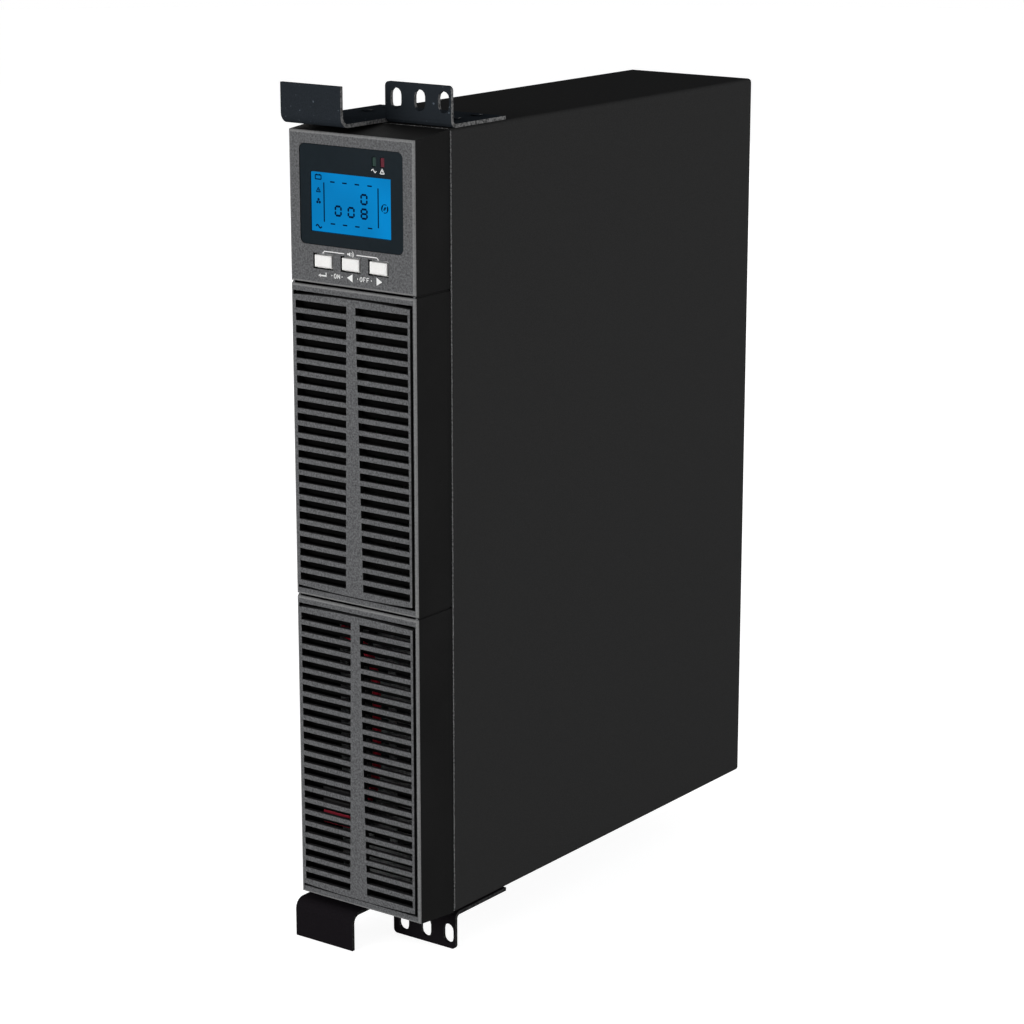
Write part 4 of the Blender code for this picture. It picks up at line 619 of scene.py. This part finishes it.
def print_on(name, shapes, face_y, material, outward=-1):
    """Lay thin closed shapes on a face that looks along -Y, or along Y where outward is one."""
    bm = bmesh.new()
    front = face_y + outward * (PRINT_LIFT + PRINT_HEIGHT) * MM
    back = face_y + outward * PRINT_LIFT * MM
    for outline in shapes:
        rings = []
        for y in (front, back):
            rings.append([bm.verts.new((x * MM, y, z * MM)) for x, z in outline])
        for loop in rings:
            bm.faces.new(loop)
        for index in range(len(outline)):
            bm.faces.new((rings[0][index - 1], rings[0][index], rings[1][index], rings[1][index - 1]))
    bmesh.ops.triangulate(bm, faces=[face for face in bm.faces if len(face.verts) > 4])
    bmesh.ops.recalc_face_normals(bm, faces=bm.faces)
    shown(name, mesh_from(name, bm), material)


def letter(sign, x, z):
    """Strokes of one capital letter, centred on x and z."""
    half_width, half_height = LETTER_WIDTH / 2, LETTER_HEIGHT / 2
    left, right, low, high = x - half_width, x + half_width, z - half_height, z + half_height
    stroke = LETTER_STROKE
    if sign == "O":
        radii = (half_width, half_height)
        return [ring((x, z), radii, stroke, 85.0, 275.0), ring((x, z), radii, stroke, 265.0, 455.0)]
    if sign == "N":
        return [ribbon([(left, low), (left, high)], stroke), ribbon([(left, high), (right, low)], stroke),
                ribbon([(right, low), (right, high)], stroke)]
    return [ribbon([(left, low), (left, high)], stroke), ribbon([(left, high), (right, high)], stroke),
            ribbon([(left, z), (right - stroke, z)], stroke)]


def word(signs, x, z):
    """A word of capital letters between two dots."""
    shapes = []
    pitch = LETTER_WIDTH + 2 * LETTER_STROKE
    start = x - pitch * (len(signs) - 1) / 2
    for index, sign in enumerate(signs):
        shapes += letter(sign, start + index * pitch, z)
    outer = pitch * (len(signs) + 1) / 2
    for side in (-1, 1):
        shapes.append(polygon((x + side * outer, z), LETTER_STROKE * DOT_SHARE, 10))
    return shapes


def speaker(centre):
    """A small loudspeaker sign for the keys that quieten the alarm."""
    x, z = centre
    cone = [(x - CONE_LENGTH, z - CONE_NECK), (x, z - CONE_MOUTH), (x, z + CONE_MOUTH),
            (x - CONE_LENGTH, z + CONE_NECK)]
    shapes = [bar((x - SPEAKER_BACK, z), SPEAKER_BOX), cone]
    for reach in SOUND_REACHES:
        shapes.append(ring((x, z), (reach, reach), SOUND_STROKE, -SOUND_ANGLE, SOUND_ANGLE, 8))
    return shapes


def enter_arrow(x, z):
    """A bent arrow that points left."""
    line = z - ENTER_DROP
    bend = x + ENTER_BEND
    return [
        ribbon([(x - ENTER_LEFT, line), (x + ENTER_RIGHT, line)], ENTER_STROKE),
        ribbon([(bend, line), (bend, z + ENTER_RISE)], ENTER_BEND_STROKE),
        polygon((x - ENTER_HEAD, line), ENTER_HEAD_RADIUS, 3, POINT_LEFT),
    ]


def key_legends():
    """Bracket over the outer keys, and the arrows and words under the row."""
    low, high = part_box("enter_button")
    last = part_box("next_button")
    left = (low[0] + high[0]) / 2 / MM
    right = (last[0][0] + last[1][0]) / 2 / MM
    middle = (left + right) / 2
    z = (low[2] + high[2]) / 2 / MM
    top = high[2] / MM + BRACKET_LIFT
    leg = top - BRACKET_LEG
    corner = BRACKET_CORNER
    arm_left = [(left, leg), (left, top - corner), (left + corner, top), (middle - BRACKET_GAP, top)]
    arm_right = [(middle + BRACKET_GAP, top), (right - corner, top), (right, top - corner), (right, leg)]
    shapes = [ribbon(arm_left, BRACKET_STROKE), ribbon(arm_right, BRACKET_STROKE)]
    shapes += speaker((middle, top))
    row = z - LEGEND_DROP
    step = (right - left) / 4
    shapes += enter_arrow(left, row)
    shapes += word("ON", left + step, row)
    shapes.append(polygon((middle, row), ARROW_RADIUS, 3, POINT_LEFT))
    shapes += word("OFF", middle + step, row)
    shapes.append(polygon((right, row), ARROW_RADIUS, 3, POINT_RIGHT))
    print_on("key_legends", shapes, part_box("display_bezel")[0][1], WHITE_INK)


def light_symbols():
    """A wave under the mains light, and a warning triangle under the fault light."""
    low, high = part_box("mains_light_pipe")
    x, z = (low[0] + high[0]) / 2 / MM, (low[2] + high[2]) / 2 / MM - SYMBOL_DROP
    shapes = [ribbon(wave((x, z), LIGHT_WAVE, LIGHT_WAVE_STEPS), SYMBOL_STROKE)]
    low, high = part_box("fault_light_pipe")
    x = (low[0] + high[0]) / 2 / MM
    shapes += outlined(polygon((x, z - WARNING_DROP), WARNING_RADIUS, 3), SYMBOL_STROKE)
    shapes.append(bar((x, z), WARNING_BAR))
    print_on("light_symbols", shapes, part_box("display_fascia")[0][1], WHITE_INK)


# Display picture

def seven_segments(centre, lit):
    """A seven-segment figure. Segments are a to g, from the top round to the middle."""
    x, z = centre
    half_width = DIGIT_SIZE[0] / 2 - DIGIT_STROKE / 2
    half_height = DIGIT_SIZE[1] / 2 - DIGIT_STROKE / 2
    level = 2 * half_width - DIGIT_STROKE - SEGMENT_GAP
    upright = half_height - DIGIT_STROKE - SEGMENT_GAP
    places = {
        "a": (x, z + half_height, True), "g": (x, z, True), "d": (x, z - half_height, True),
        "f": (x - half_width, z + half_height / 2, False), "b": (x + half_width, z + half_height / 2, False),
        "e": (x - half_width, z - half_height / 2, False), "c": (x + half_width, z - half_height / 2, False),
    }
    shapes = []
    for name in lit:
        px, pz, is_level = places[name]
        length = (level if is_level else upright) / 2
        half = DIGIT_STROKE / 2
        point = half * SEGMENT_POINT
        long_way = [(-length - point, 0), (-length, half), (length, half), (length + point, 0),
                    (length, -half), (-length, -half)]
        shapes.append([(px + a, pz + b) if is_level else (px + b, pz + a) for a, b in long_way])
    return shapes


def fan_icon(centre):
    shapes = []
    for blade in range(3):
        angle = math.radians(90 + 120 * blade)
        across, up = FAN_BLADE_REACH * math.cos(angle), FAN_BLADE_REACH * math.sin(angle)
        shapes.append(polygon((centre[0] + across, centre[1] + up), FAN_BLADE_RADIUS, 10))
    return shapes


def battery_icon(centre):
    shapes = outlined(bar(centre, BATTERY_ICON), BATTERY_STROKE)
    for side in (-1, 1):
        shapes.append(bar((centre[0] + side * TERMINAL_X, centre[1] + TERMINAL_LIFT), TERMINAL_SIZE))
    return shapes


def display_picture():
    """The figures, bars and icons that the display shows."""
    low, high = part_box("lcd_module")
    left, right = low[0] / MM + LCD_MARGIN, high[0] / MM - LCD_MARGIN
    bottom, top = low[2] / MM + LCD_MARGIN, high[2] / MM - LCD_MARGIN

    def at(column, row):
        return left + (right - left) * column, top - (top - bottom) * row

    shapes = battery_icon(at(ICON_COLUMN, BATTERY_ROW))
    shapes += outlined(polygon(at(ICON_COLUMN, ALARM_ROW), ALARM_RADIUS, 3), ALARM_STROKE)
    shapes.append(bar(at(ICON_COLUMN, ALARM_BAR_ROW), ALARM_BAR))
    shapes += fan_icon(at(ICON_COLUMN, FAN_ROW))
    mains = wave(at(ICON_COLUMN, WAVE_ROW), DISPLAY_WAVE, DISPLAY_WAVE_STEPS)
    shapes.append(ribbon(mains, DISPLAY_WAVE_STROKE))
    for column in BAR_COLUMNS:
        shapes.append(ribbon([at(column, row) for row in BAR_SPAN], BAR_STROKE))
    for row in DASH_ROWS:
        for column in DASH_COLUMNS:
            shapes.append(bar(at(column, row), DASH_SIZE))
    zero, eight = "abcdef", "abcdefg"
    shapes += seven_segments(at(DIGIT_RIGHT, DIGIT_ROWS[0]), zero)
    for place, lit in ((2, zero), (1, zero), (0, eight)):
        shapes += seven_segments(at(DIGIT_RIGHT - place * DIGIT_PITCH, DIGIT_ROWS[1]), lit)
    x, z = at(*ROUND_ICON)
    for start, end in ROUND_ARCS:
        shapes.append(ring((x, z), ROUND_RADII, ROUND_STROKE, start, end))
    for foot, head in SLASH_ENDS:
        shapes.append(ribbon([(x + foot, z - SLASH_RISE), (x + head, z + SLASH_RISE)], SLASH_STROKE))
    print_on("display_picture", shapes, low[1], INK)


# Louvre blades

def louvre_blades(name, panel, body):
    """Blades that slope in and down from the slats of a cover, and leave a slit above each slat."""
    low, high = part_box(panel)
    first = low[2] / MM + LOUVRE_FROM_END
    last = high[2] / MM - LOUVRE_FROM_END - LOUVRE_OPENING
    root = low[1] / MM + SLAT_DEPTH
    tip = root + BLADE_REACH
    half = high[0] / MM - BLADE_FROM_SIDE
    bm = bmesh.new()
    for row in range(LOUVRE_ROWS):
        bottom = first + (last - first) * row / (LOUVRE_ROWS - 1)
        top = bottom + LOUVRE_OPENING + BLADE_ROOT_LIFT
        foot = bottom - BLADE_TIP_DROP
        profile = [(root, top), (tip, foot), (tip, foot + BLADE_THICKNESS), (root, top + BLADE_THICKNESS)]
        ends = []
        for side in (-half, half):
            ends.append([bm.verts.new((side * MM, y * MM, z * MM)) for y, z in profile])
            bm.faces.new(ends[-1])
        for index in range(len(profile)):
            bm.faces.new((ends[0][index - 1], ends[0][index], ends[1][index], ends[1][index - 1]))
    bmesh.ops.recalc_face_normals(bm, faces=bm.faces)
    # Lying behind the front, the blades take the moulding's painted recess shade
    shown(name, mesh_from(name, bm), MOULDED_PAINTED_LIGHT, body)


# Small fasteners

def screw_mesh(name, radius, height, profile):
    """A cross-recessed screw head that stands along +Z, with its seat at zero."""
    bm = bmesh.new()
    angles = [math.tau * side / SCREW_SIDES for side in range(SCREW_SIDES)]
    rings = []
    for share, rise in profile:
        reach = radius * share
        level = height * rise
        circle = [(reach * math.cos(angle), reach * math.sin(angle), level) for angle in angles]
        rings.append([bm.verts.new(point) for point in circle])
    bm.faces.new(rings[0])
    for low, high in zip(rings, rings[1:]):
        for side in range(SCREW_SIDES):
            bm.faces.new((low[side - 1], low[side], high[side], high[side - 1]))
    half = radius * CROSS_WIDTH / 2
    reach = radius * CROSS_REACH
    cross = []
    for quarter in range(4):
        turn = Matrix.Rotation(math.tau * quarter / 4, 2)
        cross += [turn @ Vector(point) for point in ((half, half), (reach, half), (reach, -half))]
    bottom = height * CROSS_FLOOR
    edge = [bm.verts.new((point.x, point.y, height)) for point in cross]
    pit = [bm.verts.new((point.x * CROSS_TAPER, point.y * CROSS_TAPER, bottom)) for point in cross]
    rim = rings[-1]
    edges = [bm.edges.get(pair) or bm.edges.new(pair) for pair in zip(rim, rim[1:] + rim[:1])]
    edges += [bm.edges.new(pair) for pair in zip(edge, edge[1:] + edge[:1])]
    bmesh.ops.triangle_fill(bm, edges=edges, use_beauty=True, normal=(0.0, 0.0, 1.0))
    for index in range(len(edge)):
        bm.faces.new((edge[index - 1], edge[index], pit[index], pit[index - 1]))
    bm.faces.new(pit)
    bmesh.ops.recalc_face_normals(bm, faces=bm.faces)
    bm.transform(Matrix.Scale(MM, 4))
    return mesh_from(name, bm)


def place_screws(name, mesh, places, facing, material):
    """Put copies of a screw head on a face, all in one piece."""
    turn = Vector((0.0, 0.0, 1.0)).rotation_difference(Vector(facing)).to_matrix().to_4x4()
    bm = bmesh.new()
    for index, place in enumerate(places):
        own = Matrix.Rotation(math.radians(SCREW_TURN * index), 4, "Z")
        copy = mesh.copy()
        copy.transform(Matrix.Translation(Vector(place)) @ turn @ own)
        bm.from_mesh(copy)
        bpy.data.meshes.remove(copy)
    shown(name, mesh_from(name, bm), material)


def ear_screws(sunk):
    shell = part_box("cover_shell")
    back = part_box("upper_rack_ear")[1][1]
    spots = [(x * MM, back - y * MM) for y in EAR_SCREWS_FROM_BACK for x in (-EAR_SCREW_X, EAR_SCREW_X)]
    top_places = [(x, y, shell[1][2] + EAR_FACE * MM) for x, y in spots]
    place_screws("upper_ear_screws", sunk, top_places, (0, 0, 1), EAR_PAINT)
    low_places = [(x, y, shell[0][2] - EAR_FACE * MM) for x, y in spots]
    place_screws("lower_ear_screws", sunk, low_places, (0, 0, -1), SHADED_LOWER_EAR_PAINT)


def rear_screws(pan):
    """Screws of the fan, the card slot cover and the rear panel."""
    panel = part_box("rear_panel")
    face = panel[1][1]
    fan_low, fan_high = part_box("fan_frame")
    centre = ((fan_low[0] + fan_high[0]) / 2, (fan_low[2] + fan_high[2]) / 2)
    half = FAN_SCREW_X * MM
    fan_spots = [(centre[0] + a * half, face, centre[1] + b * half) for a in (-1, 1) for b in (-1, 1)]
    place_screws("fan_screws", pan, fan_spots, (0, 1, 0), BLACK)
    card_low, card_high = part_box("card_slot_cover")
    card_z = (card_low[2] + card_high[2]) / 2
    card_inset = CARD_SCREW_FROM_SIDE * MM
    card_spots = [(x, card_high[1], card_z) for x in (card_low[0] + card_inset, card_high[0] - card_inset)]
    place_screws("card_cover_screws", pan, card_spots, (0, 1, 0), NICKEL)
    outlets_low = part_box("outlet_socket_4")[0][2]
    edge_z = (panel[0][2] + PANEL_SCREW_FROM_END * MM, outlets_low - PANEL_SCREW_BELOW_OUTLETS * MM)
    inset = PANEL_SCREW_FROM_SIDE * MM
    edge_x = (panel[0][0] + inset, panel[1][0] - inset)
    panel_spots = [(x, face, z) for x in edge_x for z in edge_z]
    place_screws("rear_panel_screws", pan, panel_spots, (0, 1, 0), BLACK)


def door_screws(pan):
    low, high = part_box("battery_door")
    side, end = DOOR_SCREW_FROM_SIDE * MM, DOOR_SCREW_FROM_END * MM
    spots = [(x, low[1], z) for x in (low[0] + side, high[0] - side) for z in (low[2] + end, high[2] - end)]
    place_screws("battery_door_screws", pan, spots, (0, -1, 0), NICKEL)


def case_screws(pan):
    low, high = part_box("cover_shell")
    x = low[0] + CASE_SCREW_FROM_SIDE * MM
    spots = [(x, high[1] - y * MM, low[2]) for y in CASE_SCREWS_FROM_BACK]
    place_screws("case_screws", pan, spots, (0, 0, -1), BLACK)


def fasteners():
    pan = screw_mesh("pan_head", SCREW_RADIUS, SCREW_HEIGHT, PAN_PROFILE)
    sunk = screw_mesh("sunk_head", COUNTERSINK_RADIUS, COUNTERSINK_HEIGHT, SUNK_PROFILE)
    ear_screws(sunk)
    rear_screws(pan)
    door_screws(pan)
    case_screws(pan)


# Rear contacts

def box_mesh(name, boxes, bevel):
    """Boxes with bevelled edges."""
    bm = bmesh.new()
    for low, high in boxes:
        size = [b - a for a, b in zip(low, high)]
        centre = [(a + b) / 2 for a, b in zip(low, high)]
        fitted = Matrix.Translation(centre) @ Matrix.Diagonal((*size, 1.0))
        made = bmesh.ops.create_cube(bm, size=1.0, matrix=fitted)
        edges = list({edge for vertex in made["verts"] for edge in vertex.link_edges})
        bmesh.ops.bevel(bm, geom=edges, offset=bevel, segments=1, affect="EDGES")
    bmesh.ops.recalc_face_normals(bm, faces=bm.faces)
    return mesh_from(name, bm)


def inlet_pins():
    """Nickel blades over the moulded cores of the inlet's pins."""
    low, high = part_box("inlet_socket")
    x, z = (low[0] + high[0]) / 2, (low[2] + high[2]) / 2
    half_width = (PIN_HALF_WIDTH + PIN_SKIN) * MM
    half_height = (PIN_HALF_HEIGHT + PIN_SKIN) * MM
    start = high[1] - PIN_ROOT * MM
    end = high[1] - (PIN_TIP - PIN_SKIN) * MM
    boxes = []
    for across, up in PIN_PLACES:
        px, pz = x + across * MM, z + up * MM
        near = (px - half_width, start, pz - half_height)
        far = (px + half_width, end, pz + half_height)
        boxes.append((near, far))
    shown("inlet_pins", box_mesh("inlet_pins", boxes, PIN_BEVEL * MM), NICKEL)


def rod_mesh(name, spots, radii, length, sides):
    """Short rods along Y, each centred on a spot."""
    bm = bmesh.new()
    turn = Matrix.Rotation(math.radians(-90), 4, "X")
    for spot in spots:
        bmesh.ops.create_cone(bm, cap_ends=True, segments=sides, radius1=radii[0] * MM, radius2=radii[1] * MM,
                              depth=length * MM, matrix=Matrix.Translation(spot) @ turn)
    return mesh_from(name, bm)


def serial_details():
    """Dark insert with brass contacts, and the two jack posts."""
    low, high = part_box("serial_port")
    x, z = (low[0] + high[0]) / 2, (low[2] + high[2]) / 2
    face = high[1]
    wide, narrow, tall = (half * MM for half in SERIAL_INSERT)
    outline = [(x - narrow, z - tall), (x + narrow, z - tall), (x + wide, z + tall), (x - wide, z + tall)]
    print_on("serial_insert", [[(a / MM, b / MM) for a, b in outline]], face, BLACK, 1)
    spots = []
    for row, count in CONTACT_ROWS:
        for index in range(count):
            across = (index - (count - 1) / 2) * CONTACT_PITCH
            spots.append(Vector((x + across * MM, face + CONTACT_LIFT * MM, z + row * MM)))
    contacts = rod_mesh("serial_contacts", spots, (CONTACT_RADIUS, CONTACT_RADIUS), CONTACT_LENGTH, 12)
    shown("serial_contacts", contacts, BRASS)
    middle = face - POST_FLANGE * MM + POST_MIDDLE * MM
    sides = [Vector((x + side * POST_X * MM, middle, z)) for side in (-1, 1)]
    posts = rod_mesh("serial_jack_posts", sides, POST_RADII, POST_LENGTH, 6)
    shown("serial_jack_posts", posts, NICKEL)


# Studio

def seen_rays(tree):
    """One for rays that show the background: straight, mirrored or through glass."""
    path = tree.nodes.new("ShaderNodeLightPath")
    total = path.outputs["Is Camera Ray"]
    for ray in ("Is Glossy Ray", "Is Transmission Ray"):
        either = tree.nodes.new("ShaderNodeMath")
        either.operation = "MAXIMUM"
        tree.links.new(total, either.inputs[0])
        tree.links.new(path.outputs[ray], either.inputs[1])
        total = either.outputs["Value"]
    return total


def world_light():
    """White where it is seen, and a soft light that fades upwards."""
    world = bpy.data.worlds.new("studio")
    bpy.context.scene.world = world
    world.use_nodes = True
    tree = world.node_tree
    tree.nodes.clear()
    output = tree.nodes.new("ShaderNodeOutputWorld")
    seen = tree.nodes.new("ShaderNodeBackground")
    seen.inputs["Color"].default_value = WHITE
    soft = tree.nodes.new("ShaderNodeBackground")
    soft.inputs["Color"].default_value = SOFT_COLOUR
    place = tree.nodes.new("ShaderNodeTexCoord")
    split = tree.nodes.new("ShaderNodeSeparateXYZ")
    tree.links.new(place.outputs["Generated"], split.inputs["Vector"])
    height = tree.nodes.new("ShaderNodeMapRange")
    height.inputs["To Min"].default_value = WALL_LIGHT
    height.inputs["To Max"].default_value = CEILING_LIGHT
    tree.links.new(split.outputs["Z"], height.inputs["Value"])
    tree.links.new(height.outputs["Result"], soft.inputs["Strength"])
    mix = tree.nodes.new("ShaderNodeMixShader")
    tree.links.new(seen_rays(tree), mix.inputs["Fac"])
    tree.links.new(soft.outputs["Background"], mix.inputs[1])
    tree.links.new(seen.outputs["Background"], mix.inputs[2])
    tree.links.new(mix.outputs["Shader"], output.inputs["Surface"])


def lamp(name, place, size, power):
    """A rectangular lamp that faces the object."""
    light = bpy.data.lights.new(name, "AREA")
    light.shape = "RECTANGLE"
    light.size, light.size_y = size
    light.energy = power
    holder = bpy.data.objects.new(name, light)
    holder.location = place
    holder.rotation_euler = (Vector(LAMP_TARGET) - Vector(place)).to_track_quat("-Z", "Y").to_euler()
    bpy.context.collection.objects.link(holder)


def floor():
    """A pale disk that keeps the object's shadow and otherwise looks white."""
    bm = bmesh.new()
    bmesh.ops.create_circle(bm, cap_ends=True, segments=FLOOR_SIDES, radius=FLOOR_RADIUS)
    mesh = mesh_from("floor", bm)
    material, tree, shader = blank_material("pale_floor")
    tone = ramp(tree, noise(tree, 3.0, 2.0), FLOOR_DARK, FLOOR_PALE)
    tree.links.new(tone, shader.inputs["Base Color"])
    shader.inputs["Roughness"].default_value = 0.8
    shader.inputs["Emission Color"].default_value = WHITE
    gain = tree.nodes.new("ShaderNodeMath")
    gain.operation = "MULTIPLY"
    gain.inputs[1].default_value = FLOOR_GLOW
    tree.links.new(seen_rays(tree), gain.inputs[0])
    tree.links.new(gain.outputs["Value"], shader.inputs["Emission Strength"])
    mesh.materials.append(material)
    plane = bpy.data.objects.new("floor", mesh)
    bpy.context.collection.objects.link(plane)


def camera():
    lens = bpy.data.cameras.new("camera")
    lens.sensor_width = SENSOR
    lens.lens = LENS
    lens.clip_end = CLIP_END
    holder = bpy.data.objects.new("camera", lens)
    holder.location = CAMERA_PLACE
    turn = (90 - CAMERA_PITCH, 0.0, CAMERA_HEADING)
    holder.rotation_euler = [math.radians(angle) for angle in turn]
    bpy.context.collection.objects.link(holder)
    bpy.context.scene.camera = holder


def studio():
    camera()
    world_light()
    for name, (place, size, power) in LAMPS.items():
        lamp(name, place, size, power)
    floor()
    bpy.context.scene.view_settings.view_transform = "Standard"


dress_nodes()
key_legends()
light_symbols()
display_picture()
louvre_blades("upper_louvre_blades", "upper_louvre_panel", "upper_cover")
louvre_blades("lower_louvre_blades", "lower_louvre_panel", "lower_cover")
fasteners()
inlet_pins()
serial_details()
studio()
